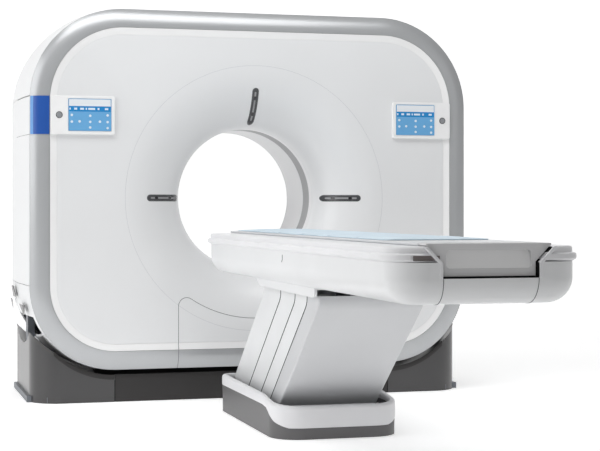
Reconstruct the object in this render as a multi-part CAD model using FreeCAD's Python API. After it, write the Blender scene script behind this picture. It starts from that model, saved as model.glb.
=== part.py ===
# CT scanner: tilting ring gantry with a rotating X-ray set, and a patient
# table on a leaning parallelogram column.
# Frame: origin on the floor under the centre of the bore, +X to the right as
# seen from the table, +Y along the bore away from the table, +Z up.  Sizes in mm.
import FreeCAD, Part
import math
import os

V = FreeCAD.Vector

# ---------------------------------------------------------------- sizes
# gantry housing
ISO_Z = 1015.0          # bore axis above the floor
BORE_R = 360.0          # clear radius of the patient bore
HALF_DEPTH = 484.0      # bore centre to the ridge of either face
RIDGE_W = 1044.0        # bore axis to the ridge, sideways
RIDGE_UP = 846.0        # ... upwards
RIDGE_DOWN = 760.0      # ... downwards
CORNER_UP_R = 371.0     # ridge corner radius, upper corners
CORNER_DOWN_R = 328.0   # ... lower corners
BEZEL_W = 94.0          # width of the silver bezel outside the ridge
BEZEL_DROP = 37.0       # how far the bezel falls back over its width
BEZEL_T = 8.0
LIP = 7.0               # straight rim behind the bezel, seat of the shells
SEAM = 3.0              # shadow seam between bezel and shells
RING_W = 36.0           # white ring inside the ridge
RING_FALL = 7.0
RING_T = 11.0
FACE_SET = 5.0          # face panel behind the ridge
COVER_T = 8.0           # moulded cover wall
SHELL_T = 8.0
BULGE = 25.0            # swell of the side shells at mid-depth
FUNNEL_R = 672.0        # crease circle of the bell mouth
FUNNEL_DEPTH = 244.0    # depth of the bell mouth behind the face
BORE_WALL = 8.0
STRIP_W = 47.0          # light strip of the bore in front of the window
WINDOW_W = 117.0        # X-ray window band
SHELL_SPLIT_UP = 502.0  # seam of the top shell above the bore axis
PANEL_GAP = 1.2         # seam round the service panel
SERVICE_W = 403.0       # half width of the front service panel
SERVICE_R = 609.0       # its upper edge runs round the bore
SERVICE_CORNER = 42.0
SLOT_W = 34.0           # positioning laser windows
SLOT_R1 = 378.0
SLOT_R2 = 560.0
FIT = 0.2               # seam between pieces set into each other
RUN = 0.3               # running gap between moving pieces
PIN_FIT = 0.05          # radial play of pins and shafts

# operator panels on the front face
OP_X1 = 726.0
OP_X2 = 1041.0
OP_Z1 = 311.0           # above the bore axis
OP_Z2 = 500.0
OP_PROUD = 10.0
OP_R = 10.0
SCREEN_X1 = 744.0
SCREEN_X2 = 954.0
SCREEN_Z1 = 329.0
SCREEN_Z2 = 486.0
SCREEN_T = 6.0
SCREEN_PROUD = 1.5
BUTTON_X = 999.0
BUTTON_Z = 406.0
BUTTON_R = 13.0
BUTTON_L = 10.0
BUTTON_PROUD = 3.0
BUTTON_TRAVEL = 2.5
BADGE_T = 2.5

# tilting support
POST_X1 = 1070.0
POST_X2 = 1105.0
POST_HALF = 50.0
POST_HEAD = 90.0
TRUNNION_R = 60.0
POST_NECK_Z = 180.0     # foot of the post's straight neck
POST_FOOT = 220.0       # half length of the post's foot
TILT_CLEAR = 10.0       # pedestals to the sweep of the housing
SIDE_CLEAR = 4.0        # ... and sideways
DOOR_Z = 425.0          # doors in the lower shell for the posts
DOOR_Y = 385.0
DOOR_GAP = 5.0
ARM_T = 30.0            # arms from the frame to the shells
ARM_W = 50.0
ARM_X = 500.0
FRAME_IN = 70.0         # steel frame inside the ridge outline
FRAME_Y1 = 90.0
FRAME_Y2 = 150.0
FRAME_BORE = 612.0

# pedestals and floor frame
PED_X1 = 717.0
PED_W = 1150.0
PED_HALF_D = 435.0
PED_T = 10.0
PED_TIP_X = 1186.0
PED_TIP_Z = 566.0
PED_SHOULDER_Z = 482.0
PED_FLARE_Z = 340.0
PED_CORNER_R = 100.0
STRIP_Z = 136.0
STRIP_T = 18.0
FLOOR_H = 30.0
RAIL_W = 90.0           # floor frame rails
ANCHOR_X = 1000.0       # anchor bolts of the gantry
ANCHOR_R = 11.0
CABLE_R = 30.0          # cable inlet in the floor frame
CABLE_X = -900.0

# rotor
ROTOR_IN = 385.0
ROTOR_T = 15.0
DISC_R = 700.0
DISC_Y1 = 2.0
DISC_T = 26.0
RACE_R = 600.0
RACE_T = 34.0
SCAN_Y = -130.0
TUBE_R = 88.0
TUBE_POS = 575.0
PULLEY_R = 60.0
MOTOR_X = 620.0
MOTOR_Z = -585.0
BELT_T = 4.0

# patient table
BASE_W = 280.0          # half width of the table base
BASE_Y1 = -1905.0
BASE_Y2 = -862.0
BASE_R1 = 128.0
BASE_R2 = 60.0
SKIRT_Z = 126.0
SKIRT_FRONT_Z = 48.0
TRAY_Z = 167.0
TRAY_FRONT_Z = 143.0
TRAY_T = 8.0
WELL_W = 236.0          # half width of the well round the column
TABLE_FLOOR_H = 20.0
TABLE_ANCHOR_X = 200.0
TABLE_ANCHOR_R = 9.0
LEAN = 52.2             # lean of the column slabs from upright, degrees
PIVOT_Z1 = 90.0
PIVOT_Z2 = 705.0
PIVOT_Y = -1131.0       # lower pivot of the first slab
PIN_R = 11.0
PIN_OPEN = 0.5          # play of the upper pins that close the linkage
EAR_R = 22.0
EAR_T = 6.0
EAR_X1 = 112.0          # ears on the floor frame
EAR_X2 = 192.0          # ears on the table frame
SLABS = [340.0, 238.0, 188.0, 131.0]   # horizontal depth of the slabs a to d
LANE_W = 229.0          # outer half width of the outermost slab
LANE_STEP = 8.0
SLAB_T = 5.0
WEB_T = 6.0
LAP = 49.0              # how far a slab reaches over the next one
KNEE_Z = 584.0
SLAB_FOOT_Z = 100.0
SLAB_TOP_Z = 635.0
SLAB_STEP = 18.0        # how much lower slabs c and d end

HULL_W = 300.0
HULL_Y1 = -3526.0
HULL_Y2 = -800.0
HULL_Z1 = 657.0
HULL_Z2 = 795.0
HULL_T = 6.0
HULL_CORNER = 120.0
HULL_BELLY = 85.0
BEAM_X1 = 245.0         # side beams of the table frame
BEAM_X2 = 285.0
BEAM_Z = 712.0
FLANGE_T = 12.0
RIM_RIDGE = 320.0
RIM_LOW = 308.0
RIM_TOP = 298.0
RIM_RIDGE_Z = 819.0
RIM_Z = 845.0
RIM_FLOOR = 8.0
CRADLE_W1 = 220.0
CRADLE_W2 = 164.0
CRADLE_Z = 855.0
CRADLE_EDGE = 5.0       # thickness of the cradle's upper edge
HANDLE_Z1 = 745.0
HANDLE_NECK = 793.0
HANDLE_L = 86.0
GRIP_W = 147.0
GRIP_Z1 = 774.0
GRIP_Z2 = 833.0
CRADLE_Y2 = -830.0
CRADLE_TRAVEL = 1700.0
SLIDE_GAP = 1.5
MAT_W = 200.0
MAT_T = 10.0
MAT_Y1 = -3060.0
MAT_Y2 = -860.0

PARTS = {}


# ---------------------------------------------------------------- helpers
def box(x1, x2, y1, y2, z1, z2):
    return Part.makeBox(x2 - x1, y2 - y1, z2 - z1, V(x1, y1, z1))


def cyl(r, p, d, length):
    return Part.makeCylinder(r, length, V(*p), V(*d))


def poly_face(points):
    pts = [V(*p) for p in points]
    return Part.Face(Part.makePolygon(pts + [pts[0]]))


def wire_face(edges):
    return Part.Face(Part.Wire(Part.__sortEdges__(edges)))


def line(a, b):
    return Part.LineSegment(V(*a), V(*b)).toShape()


def arc(a, m, b):
    return Part.Arc(V(*a), V(*m), V(*b)).toShape()


def plate_yz(points, x1, x2):
    """Prism along X from points (y, z)."""
    return poly_face([(x1, y, z) for y, z in points]).extrude(V(x2 - x1, 0, 0))


def plate_xz(points, y1, y2):
    """Prism along Y from points (x, z)."""
    return poly_face([(x, y1, z) for x, z in points]).extrude(V(0, y2 - y1, 0))


def mirror_x(s):
    return s.mirror(V(0, 0, 0), V(1, 0, 0))


def mirror_y(s):
    return s.mirror(V(0, 0, 0), V(0, 1, 0))


def one(s):
    """The single solid of a boolean's result."""
    s = s.removeSplitter()
    solids = sorted(s.Solids, key=lambda k: k.Volume)
    return solids[-1]


def add(name, s):
    PARTS[name] = one(s)


def fillet(s, r, pick):
    edges = [e for e in s.Edges if pick(e)]
    return s.makeFillet(r, edges) if edges else s


def upright(e):
    a, b = e.Vertexes[0].Point, e.Vertexes[-1].Point
    return len(e.Vertexes) == 2 and abs(a.x - b.x) < 1e-6 and abs(a.y - b.y) < 1e-6


def along_y(e):
    a, b = e.Vertexes[0].Point, e.Vertexes[-1].Point
    return len(e.Vertexes) == 2 and abs(a.x - b.x) < 1e-6 and abs(a.z - b.z) < 1e-6


# corner centres and radii of the ridge outline, with the angle each one starts at
CORNERS = [
    (RIDGE_W - CORNER_DOWN_R, ISO_Z - RIDGE_DOWN + CORNER_DOWN_R, CORNER_DOWN_R, 270),
    (RIDGE_W - CORNER_UP_R, ISO_Z + RIDGE_UP - CORNER_UP_R, CORNER_UP_R, 0),
    (-RIDGE_W + CORNER_UP_R, ISO_Z + RIDGE_UP - CORNER_UP_R, CORNER_UP_R, 90),
    (-RIDGE_W + CORNER_DOWN_R, ISO_Z - RIDGE_DOWN + CORNER_DOWN_R, CORNER_DOWN_R, 180),
]


def around(profile):
    """Sweep a face, drawn in (offset from the ridge outline, y), round the housing."""
    pieces = []
    for i, (cx, cz, r, a) in enumerate(CORNERS):
        f = profile.copy()
        f.translate(V(r, 0, 0))
        f.rotate(V(0, 0, 0), V(0, -1, 0), a)
        f.translate(V(cx, 0, cz))
        pieces.append(f.revolve(V(cx, 0, cz), V(0, -1, 0), 90))
        g = f.copy()
        g.rotate(V(cx, 0, cz), V(0, -1, 0), 90)
        nx, nz, nr, na = CORNERS[(i + 1) % 4]
        d = V(math.cos(math.radians(na)), 0, math.sin(math.radians(na)))
        run = V(nx, 0, nz) + d * nr - V(cx, 0, cz) - d * r
        pieces.append(g.extrude(run))
    return pieces[0].fuse(pieces[1:])


def outline(s, y):
    """The ridge outline moved outwards by s, as a face at depth y."""
    edges = []
    for i, (cx, cz, r, a) in enumerate(CORNERS):
        p = []
        for k in (0, 45, 90):
            t = math.radians(a + k)
            p.append((cx + (r + s) * math.cos(t), y, cz + (r + s) * math.sin(t)))
        edges.append(arc(*p))
        nx, nz, nr, na = CORNERS[(i + 1) % 4]
        t = math.radians(na)
        q = (nx + (nr + s) * math.cos(t), y, nz + (nr + s) * math.sin(t))
        edges.append(line(p[2], q))
    return wire_face(edges)


def revolve_y(edges_rz):
    """Ring about the bore axis from a face drawn in (radius, y)."""
    f = wire_face(edges_rz)
    f.translate(V(0, 0, ISO_Z))
    return f.revolve(V(0, 0, ISO_Z), V(0, 1, 0), 360)


def ring_y(r1, r2, y1, y2):
    return cyl(r2, (0, y1, ISO_Z), (0, 1, 0), y2 - y1).cut(cyl(r1, (0, y1 - 1, ISO_Z), (0, 1, 0), y2 - y1 + 2))


def rounded(x1, x2, y1, y2, z1, z2, r):
    """Box with its upright corners rounded."""
    return fillet(box(x1, x2, y1, y2, z1, z2), r, upright)


# ---------------------------------------------------------------- housing
Y0 = -HALF_DEPTH
BACK = Y0 + BEZEL_DROP + LIP           # seat between bezel and shells
bez_r = (BEZEL_W ** 2 + BEZEL_DROP ** 2) / (2 * BEZEL_DROP)


def bezel_y(s, t=0.0):
    """Depth of the bezel's surface at offset s, t below the surface."""
    return Y0 + bez_r - math.sqrt((bez_r - t) ** 2 - s ** 2)


mid = 0.55 * BEZEL_W
bezel_profile = wire_face([
    arc((0, Y0, 0), (mid, bezel_y(mid), 0), (BEZEL_W, Y0 + BEZEL_DROP, 0)),
    line((BEZEL_W, Y0 + BEZEL_DROP, 0), (BEZEL_W, BACK - SEAM, 0)),
    line((BEZEL_W, BACK - SEAM, 0), (BEZEL_W - SEAM, BACK - SEAM, 0)),
    line((BEZEL_W - SEAM, BACK - SEAM, 0), (BEZEL_W - SEAM, BACK, 0)),
    line((BEZEL_W - SEAM, BACK, 0), (BEZEL_W - BEZEL_T - SEAM, BACK, 0)),
    line((BEZEL_W - BEZEL_T - SEAM, BACK, 0), (BEZEL_W - BEZEL_T - SEAM, Y0 + BEZEL_DROP + 1, 0)),
    line((BEZEL_W - BEZEL_T - SEAM, Y0 + BEZEL_DROP + 1, 0), (0.5 * BEZEL_W, bezel_y(0.5 * BEZEL_W) + BEZEL_T + 2, 0)),
    line((0.5 * BEZEL_W, bezel_y(0.5 * BEZEL_W) + BEZEL_T + 2, 0), (0, Y0 + BEZEL_T + 3, 0)),
    line((0, Y0 + BEZEL_T + 3, 0), (0, Y0, 0)),
])
bezel = around(bezel_profile)

ring_profile = poly_face([
    (0, Y0, 0), (-RING_W, Y0 + RING_FALL, 0), (-RING_W, Y0 + RING_FALL + RING_T, 0), (0, Y0 + RING_T, 0),
])
ring = around(ring_profile)

FACE_Y = Y0 + FACE_SET
THROAT_Y = FACE_Y + FUNNEL_DEPTH
fr, fd = FUNNEL_R - BORE_R, FUNNEL_DEPTH


def bell(t, wall):
    """Point (radius, y) of the bell mouth at angle t, wall behind its surface."""
    a = math.radians(t)
    return (FUNNEL_R - (fr - wall) * math.cos(a), THROAT_Y - (fd - wall) * math.sin(a), 0)


def bell_edge(wall, t1, t2):
    e = Part.Ellipse(V(FUNNEL_R, THROAT_Y, 0), fr - wall, fd - wall)
    return Part.Arc(e, math.radians(180 + t1), math.radians(180 + t2)).toShape()


funnel = revolve_y([
    bell_edge(0, 0, 90),
    line(bell(90, 0), bell(90, COVER_T)),
    bell_edge(COVER_T, 0, 90),
    line(bell(0, COVER_T), bell(0, 0)),
])
plate = outline(-RING_W, FACE_Y).extrude(V(0, COVER_T, 0))
plate = plate.cut(cyl(FUNNEL_R, (0, FACE_Y - 1, ISO_Z), (0, 1, 0), COVER_T + 2))
cover = plate.fuse(funnel)

# front service panel: straight sides, upper edge round the bore

def service_prism(g):
    w, r = SERVICE_W - g, SERVICE_R + g
    x0 = w
    z0 = ISO_Z - math.sqrt(r ** 2 - w ** 2)
    edges = [
        line((-w, 0, 0), (w, 0, 0)),
        line((w, 0, 0), (x0, 0, z0)),
        arc((x0, 0, z0), (0, 0, ISO_Z - r), (-x0, 0, z0)),
        line((-x0, 0, z0), (-w, 0, 0)),
    ]
    p = wire_face(edges).extrude(V(0, -300, 0))
    p.translate(V(0, -HALF_DEPTH + 250, 0))
    side = [e for e in p.Edges if along_y(e) and e.Vertexes[0].Point.z > 100]
    return p.makeFillet(SERVICE_CORNER - g, side)


prism_out = service_prism(0)
prism_in = service_prism(PANEL_GAP)
skin = cover.fuse([ring, bezel])
front_service = skin.common(prism_in)


# laser windows in the bell mouth
def slot(angle, g):
    """Stadium prism along the bore, set radially at an angle from the top."""
    w = SLOT_W / 2 - g
    r1, r2 = SLOT_R1 + SLOT_W / 2, SLOT_R2 - SLOT_W / 2
    s = box(-w, w, FACE_Y - 5, THROAT_Y, ISO_Z + r1, ISO_Z + r2)
    s = s.fuse([cyl(w, (0, FACE_Y - 5, ISO_Z + r), (0, 1, 0), FUNNEL_DEPTH + 5) for r in (r1, r2)])
    s.rotate(V(0, 0, ISO_Z), V(0, 1, 0), angle)
    return s


SLOTS = {"top": 0, "right": 90, "left": -90}
front_cover = cover.cut([prism_out] + [slot(a, 0) for a in SLOTS.values()])
for name, a in SLOTS.items():
    glass = funnel.common(slot(a, FIT))
    glass.translate(V(0, 1.0, 0))
    add("laser_window_" + name, glass.common(funnel))

rear_cover = mirror_y(cover)
rear_bezel = mirror_y(bezel)
rear_ring = mirror_y(ring)
front_bezel = bezel.cut(prism_out)
front_ring = ring.cut(prism_out)

# shells between the bezels
shell_profile = wire_face([
    arc((BEZEL_W, BACK, 0), (BEZEL_W + BULGE, 0, 0), (BEZEL_W, -BACK, 0)),
    line((BEZEL_W, -BACK, 0), (BEZEL_W - SHELL_T, -BACK, 0)),
    arc((BEZEL_W - SHELL_T, -BACK, 0), (BEZEL_W - SHELL_T + BULGE, 0, 0), (BEZEL_W - SHELL_T, BACK, 0)),
    line((BEZEL_W - SHELL_T, BACK, 0), (BEZEL_W, BACK, 0)),
])
shell = around(shell_profile)
BIG = 5000.0
z_up = ISO_Z + SHELL_SPLIT_UP
z_dn = CORNERS[0][1]
add("top_shell", shell.common(box(-BIG, BIG, -BIG, BIG, z_up, BIG)))
middle = shell.common(box(-BIG, BIG, -BIG, BIG, z_dn + FIT, z_up - FIT))
add("side_shell_left", middle.common(box(-BIG, 0, -BIG, BIG, 0, BIG)))
add("side_shell_right", middle.common(box(0, BIG, -BIG, BIG, 0, BIG)))
lower = shell.common(box(-BIG, BIG, -BIG, BIG, 0, z_dn))
door_x = POST_X1 - DOOR_GAP
lower = lower.cut([
    box(door_x, BIG, -DOOR_Y, DOOR_Y, 0, DOOR_Z),
    box(-BIG, -door_x, -DOOR_Y, DOOR_Y, 0, DOOR_Z),
])
add("lower_shell", lower)

# bore tube in three bands
y1 = THROAT_Y
y2 = y1 + STRIP_W
y3 = y2 + WINDOW_W
add("bore_front_ring", ring_y(BORE_R, BORE_R + BORE_WALL, y1, y2))
add("bore_window_ring", ring_y(BORE_R, BORE_R + BORE_WALL, y2, y3))
add("bore_rear_ring", ring_y(BORE_R, BORE_R + BORE_WALL, y3, -THROAT_Y))

# operator panels
for side, name in ((-1, "left"), (1, "right")):
    def sx(a, b):
        return (min(side * a, side * b), max(side * a, side * b))

    a, b = sx(OP_X1, OP_X2)
    body = box(a, b, Y0 - OP_PROUD, FACE_Y + 2, ISO_Z + OP_Z1, ISO_Z + OP_Z2)
    body = fillet(body, OP_R, along_y)
    body = body.cut([front_cover, front_ring, front_bezel])
    body = one(body)
    a, b = sx(SCREEN_X1 - FIT, SCREEN_X2 + FIT)
    body = body.cut(box(a, b, Y0 - OP_PROUD - 5, Y0 - OP_PROUD + SCREEN_T - SCREEN_PROUD, ISO_Z + SCREEN_Z1 - FIT, ISO_Z + SCREEN_Z2 + FIT))
    body = body.cut(cyl(BUTTON_R + RUN, (side * BUTTON_X, Y0 - OP_PROUD - 5, ISO_Z + BUTTON_Z), (0, 1, 0), 5 + BUTTON_L - BUTTON_PROUD + BUTTON_TRAVEL + RUN))
    add("control_panel_" + name, body)
    a, b = sx(SCREEN_X1, SCREEN_X2)
    add("display_" + name, box(a, b, Y0 - OP_PROUD - SCREEN_PROUD, Y0 - OP_PROUD + SCREEN_T - SCREEN_PROUD, ISO_Z + SCREEN_Z1, ISO_Z + SCREEN_Z2))
    button = cyl(BUTTON_R, (side * BUTTON_X, Y0 - OP_PROUD - BUTTON_PROUD, ISO_Z + BUTTON_Z), (0, 1, 0), BUTTON_L)
    add("button_" + name, button)

# bare colour plate on the left bezel, level with the operator panel
badge_profile = wire_face([
    arc((2, bezel_y(2, -BADGE_T), 0), (mid, bezel_y(mid, -BADGE_T), 0), (BEZEL_W - 3, bezel_y(BEZEL_W - 3, -BADGE_T), 0)),
    line((BEZEL_W - 3, bezel_y(BEZEL_W - 3, -BADGE_T), 0), (BEZEL_W - 3, bezel_y(BEZEL_W - 3), 0)),
    arc((BEZEL_W - 3, bezel_y(BEZEL_W - 3), 0), (mid, bezel_y(mid), 0), (2, bezel_y(2), 0)),
    line((2, bezel_y(2), 0), (2, bezel_y(2, -BADGE_T), 0)),
])
badge = around(badge_profile).common(box(-BIG, 0, -BIG, BIG, ISO_Z + OP_Z1, ISO_Z + OP_Z2 - 1))
badge = badge.cut([bezel, PARTS["control_panel_left"]])
add("badge_plate", badge)
add("front_cover", front_cover)
add("rear_cover", rear_cover)
add("front_bezel", front_bezel)
add("rear_bezel", rear_bezel)
add("front_ring", front_ring)
add("rear_ring", rear_ring)
add("front_service_panel", front_service)


# ---------------------------------------------------------------- tilt frame
frame = outline(-FRAME_IN, FRAME_Y1).extrude(V(0, FRAME_Y2 - FRAME_Y1, 0))
frame = frame.cut(cyl(FRAME_BORE, (0, FRAME_Y1 - 1, ISO_Z), (0, 1, 0), FRAME_Y2 - FRAME_Y1 + 2))
arm_y2 = FRAME_Y1 + ARM_T
reach = BEZEL_W + BULGE - 0.5 * SHELL_T
for side in (-1, 1):
    x_in = RIDGE_W - FRAME_IN - 20
    boss = box(min(side * x_in, side * (POST_X1 - 8)), max(side * x_in, side * (POST_X1 - 8)), -TRUNNION_R - 10, FRAME_Y2, ISO_Z - TRUNNION_R - 20, ISO_Z + TRUNNION_R + 20)
    frame = frame.fuse(boss)
    frame = frame.fuse(cyl(TRUNNION_R, (side * (POST_X1 - 10), 0, ISO_Z), (side, 0, 0), POST_X2 - POST_X1 + 18))
    # arms to the side shells, above the posts
    xa, xb = RIDGE_W - FRAME_IN - 10, RIDGE_W + reach
    frame = frame.fuse(box(min(side * xa, side * xb), max(side * xa, side * xb), FRAME_Y1, arm_y2, ISO_Z + 380, ISO_Z + 430))
    # arms to the top and lower shells
    frame = frame.fuse(box(side * ARM_X - 0.5 * ARM_W, side * ARM_X + 0.5 * ARM_W, FRAME_Y1, arm_y2, ISO_Z + RIDGE_UP - FRAME_IN - 10, ISO_Z + RIDGE_UP + reach))
    frame = frame.fuse(box(side * ARM_X - 0.5 * ARM_W, side * ARM_X + 0.5 * ARM_W, FRAME_Y1, arm_y2, ISO_Z - RIDGE_DOWN - reach, ISO_Z - RIDGE_DOWN + FRAME_IN + 10))
# motor seat
motor_c = (MOTOR_X, ISO_Z + MOTOR_Z)
frame = frame.cut([cyl(45, (motor_c[0], FRAME_Y1 - 1, motor_c[1]), (0, 1, 0), FRAME_Y2 - FRAME_Y1 + 2), shell])
add("tilt_frame", frame)

race_y1, race_y2 = FRAME_Y1 - 48.0, FRAME_Y1
add("stator_ring", ring_y(RACE_R, RACE_R + 40, race_y1, race_y2))

# motor body behind the pulley, flange against the frame plate
motor = cyl(78, (motor_c[0], race_y1 - 6, motor_c[1]), (0, 1, 0), FRAME_Y1 - race_y1 + 6)
motor = motor.fuse(cyl(44, (motor_c[0], FRAME_Y1 - 1, motor_c[1]), (0, 1, 0), 150))
motor = motor.cut(cyl(12 + PIN_FIT, (motor_c[0], race_y1 - 7, motor_c[1]), (0, 1, 0), 40))
add("drive_motor", motor)
pulley = cyl(PULLEY_R, (motor_c[0], DISC_Y1, motor_c[1]), (0, 1, 0), DISC_T)
pulley = pulley.fuse(cyl(12, (motor_c[0], DISC_Y1 + 1, motor_c[1]), (0, 1, 0), race_y1 + 26 - DISC_Y1))
pulley = pulley.cut([cyl(9, (motor_c[0] + 36 * math.cos(k * math.pi / 3), DISC_Y1 - 1, motor_c[1] + 36 * math.sin(k * math.pi / 3)), (0, 1, 0), DISC_T + 2) for k in range(6)])
add("motor_pulley", pulley)


def belt_loop(ra, rb, y1, y2):
    """Outline of a flat belt round the rotor rim and the pulley."""
    d = math.hypot(MOTOR_X, MOTOR_Z)
    base = math.atan2(MOTOR_Z, MOTOR_X)
    a = math.acos((ra - rb) / d)

    def p(cx, cz, r, t):
        return (cx + r * math.cos(t), y1, cz + r * math.sin(t))

    c0, c1 = (0, ISO_Z), motor_c
    edges = [
        arc(p(*c0, ra, base + a), p(*c0, ra, base + math.pi), p(*c0, ra, base - a)),
        line(p(*c0, ra, base - a), p(*c1, rb, base - a)),
        arc(p(*c1, rb, base - a), p(*c1, rb, base), p(*c1, rb, base + a)),
        line(p(*c1, rb, base + a), p(*c0, ra, base + a)),
    ]
    return wire_face(edges).extrude(V(0, y2 - y1, 0))


belt = belt_loop(DISC_R + RUN + BELT_T, PULLEY_R + RUN + BELT_T, DISC_Y1 + 2, DISC_Y1 + DISC_T - 2)
belt = belt.cut(belt_loop(DISC_R + RUN, PULLEY_R + RUN, DISC_Y1 + 1, DISC_Y1 + DISC_T))
add("drive_belt", belt)

# ---------------------------------------------------------------- rotor
drum = ring_y(ROTOR_IN, ROTOR_IN + ROTOR_T, SCAN_Y + 70, FRAME_Y2)
drum = drum.fuse(ring_y(ROTOR_IN, DISC_R, DISC_Y1, DISC_Y1 + DISC_T))
drum = drum.fuse(ring_y(RACE_R - RACE_T, RACE_R - PIN_FIT, DISC_Y1 + DISC_T - 1, race_y2 - 2))
holes = []
for k in range(12):
    t = math.radians(30 * k + 15)
    holes.append(cyl(45, (490 * math.cos(t), DISC_Y1 - 1, ISO_Z + 490 * math.sin(t)), (0, 1, 0), DISC_T + 2))
drum = drum.cut(holes)
add("rotor_drum", drum)
add("slip_ring", ring_y(ROTOR_IN + ROTOR_T, 540, FRAME_Y2 - 30, FRAME_Y2 - 14))


def on_disc(r, half, y1, y2):
    """Bracket block from the disc face forwards, on the +Z side."""
    return box(-half, half, y1, y2, ISO_Z + r[0], ISO_Z + r[1])


tube = cyl(TUBE_R, (0, SCAN_Y - 130, ISO_Z + TUBE_POS), (0, 1, 0), 250)
tube = tube.fuse(Part.makeCone(TUBE_R * 0.6, TUBE_R, 40, V(0, SCAN_Y - 170, ISO_Z + TUBE_POS), V(0, 1, 0)))
tube = tube.fuse(on_disc((TUBE_POS - 110, TUBE_POS + 80), 70, SCAN_Y + 100, DISC_Y1))
tube = tube.fuse(box(-60, 60, SCAN_Y - 50, SCAN_Y + 50, ISO_Z + TUBE_POS - 130, ISO_Z + TUBE_POS - 40))
add("xray_tube", tube)

# detector: arc centred on the focal spot, opposite the tube
DET_R = TUBE_POS + 560.0
det = cyl(DET_R, (0, SCAN_Y - 60, ISO_Z + TUBE_POS), (0, 1, 0), 120)
det = det.cut(cyl(DET_R - 80, (0, SCAN_Y - 61, ISO_Z + TUBE_POS), (0, 1, 0), 122))
det = det.common(plate_xz([(0, ISO_Z + TUBE_POS), (-DET_R * math.tan(math.radians(24)), ISO_Z + TUBE_POS - DET_R), (-DET_R * math.tan(math.radians(24)), ISO_Z - 800), (DET_R * math.tan(math.radians(24)), ISO_Z - 800), (DET_R * math.tan(math.radians(24)), ISO_Z + TUBE_POS - DET_R)], SCAN_Y - 60, SCAN_Y + 60))
det = det.common(cyl(DISC_R - 10, (0, SCAN_Y - 60, ISO_Z), (0, 1, 0), 120))
det = det.fuse(box(-200, 200, SCAN_Y + 50, DISC_Y1, ISO_Z - 540, ISO_Z - 500))
add("detector_arc", det)

gen = box(-650, -470, SCAN_Y - 90, DISC_Y1, ISO_Z - 110, ISO_Z + 130)
gen = fillet(gen, 20, along_y)
add("hv_generator", gen)
fins = box(480, 640, SCAN_Y - 80, DISC_Y1, ISO_Z - 150, ISO_Z + 180)
fins = fins.cut([box(479, 590, SCAN_Y - 81, SCAN_Y + 60, ISO_Z - 135 + 40 * k, ISO_Z - 115 + 40 * k) for k in range(8)])
add("heat_exchanger", fins)

# ---------------------------------------------------------------- base
# sweep of the housing about the tilt axis, as a radius for each sideways distance
cx, cz, cr, _ = CORNERS[0]
edge_y = HALF_DEPTH - BEZEL_DROP


def sweep_r(x, extra):
    if x <= cx:
        low = cz - cr - BEZEL_W
    else:
        low = cz - math.sqrt(max((cr + BEZEL_W) ** 2 - (x - cx) ** 2, 0.0))
    return math.hypot(ISO_Z - low, edge_y) + extra


def sweep_solid(extra):
    """Turned solid that the tilting housing stays inside, right-hand half."""
    x_end = RIDGE_W + BEZEL_W
    xs = [cx + (x_end - cx) * math.sin(math.radians(90 * k / 6)) for k in range(7)]
    side = SIDE_CLEAR + extra - TILT_CLEAR
    pts = [V(x + side * ((x - cx) / (x_end - cx)) ** 2, 0, sweep_r(x, extra)) for x in xs]
    # the swell of the side shells, from the bezel's seat to mid-depth
    swell = [pts[-1]]
    for k in range(1, 7):
        y = BACK * math.cos(math.radians(15 * k))
        swell.append(V(x_end + side + BULGE * (1 - (y / BACK) ** 2), 0, math.hypot(ISO_Z - cz, y) + extra))
    curves = []
    for run in (pts, swell):
        curve = Part.BSplineCurve()
        curve.interpolate(run)
        curves.append(curve.toShape())
    end = swell[-1]
    edges = curves + [
        line((300, 0, 0), (300, 0, pts[0].z)),
        line((300, 0, pts[0].z), (pts[0].x, 0, pts[0].z)),
        line((end.x, 0, end.z), (end.x, 0, 0)),
        line((end.x, 0, 0), (300, 0, 0)),
    ]
    f = wire_face(edges)
    f.translate(V(0, 0, ISO_Z))
    return f.revolve(V(0, 0, ISO_Z), V(1, 0, 0), 360)


def pedestal_block(inset):
    w = PED_W - inset
    tip = PED_TIP_X - inset
    top = PED_TIP_Z + 20
    pts = [(PED_X1, 0), (w, 0), (w, PED_FLARE_Z), (tip, PED_TIP_Z), (tip, top), (PED_X1, top)]
    d = PED_HALF_D - inset
    b = plate_xz(pts, -d, d)
    r = PED_CORNER_R - inset
    corner = [e for e in b.Edges if len(e.Vertexes) == 2 and min(v.Point.x for v in e.Vertexes) > PED_X1 + 100
              and abs(e.Vertexes[0].Point.y - e.Vertexes[-1].Point.y) < 1e-6
              and abs(e.Vertexes[0].Point.z - e.Vertexes[-1].Point.z) > 1e-6]
    return b.makeFillet(r, corner)


# side view of the upper edge: low shoulders, a hump over the trunnion post
hump = wire_face([
    line((0, -600, PED_SHOULDER_Z), (0, -190, PED_SHOULDER_Z)),
    arc((0, -190, PED_SHOULDER_Z), (0, -92, PED_SHOULDER_Z + 22), (0, -40, PED_TIP_Z - 5)),
    arc((0, -40, PED_TIP_Z - 5), (0, 0, PED_TIP_Z), (0, 40, PED_TIP_Z - 5)),
    arc((0, 40, PED_TIP_Z - 5), (0, 92, PED_SHOULDER_Z + 22), (0, 190, PED_SHOULDER_Z)),
    line((0, 190, PED_SHOULDER_Z), (0, 600, PED_SHOULDER_Z)),
    line((0, 600, PED_SHOULDER_Z), (0, 600, PED_TIP_Z + 300)),
    line((0, 600, PED_TIP_Z + 300), (0, -600, PED_TIP_Z + 300)),
    line((0, -600, PED_TIP_Z + 300), (0, -600, PED_SHOULDER_Z)),
]).extrude(V(1400, 0, 0))
sweep_out = sweep_solid(TILT_CLEAR)
sweep_in = sweep_solid(TILT_CLEAR + PED_T)
hole_y = POST_HALF + 25.0
pedestal = pedestal_block(0).cut(sweep_out)
core = pedestal_block(PED_T).cut(sweep_in)
core = core.common(box(PED_X1 + PED_T, BIG, -BIG, BIG, -10, PED_FLARE_Z + 60))
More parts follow.
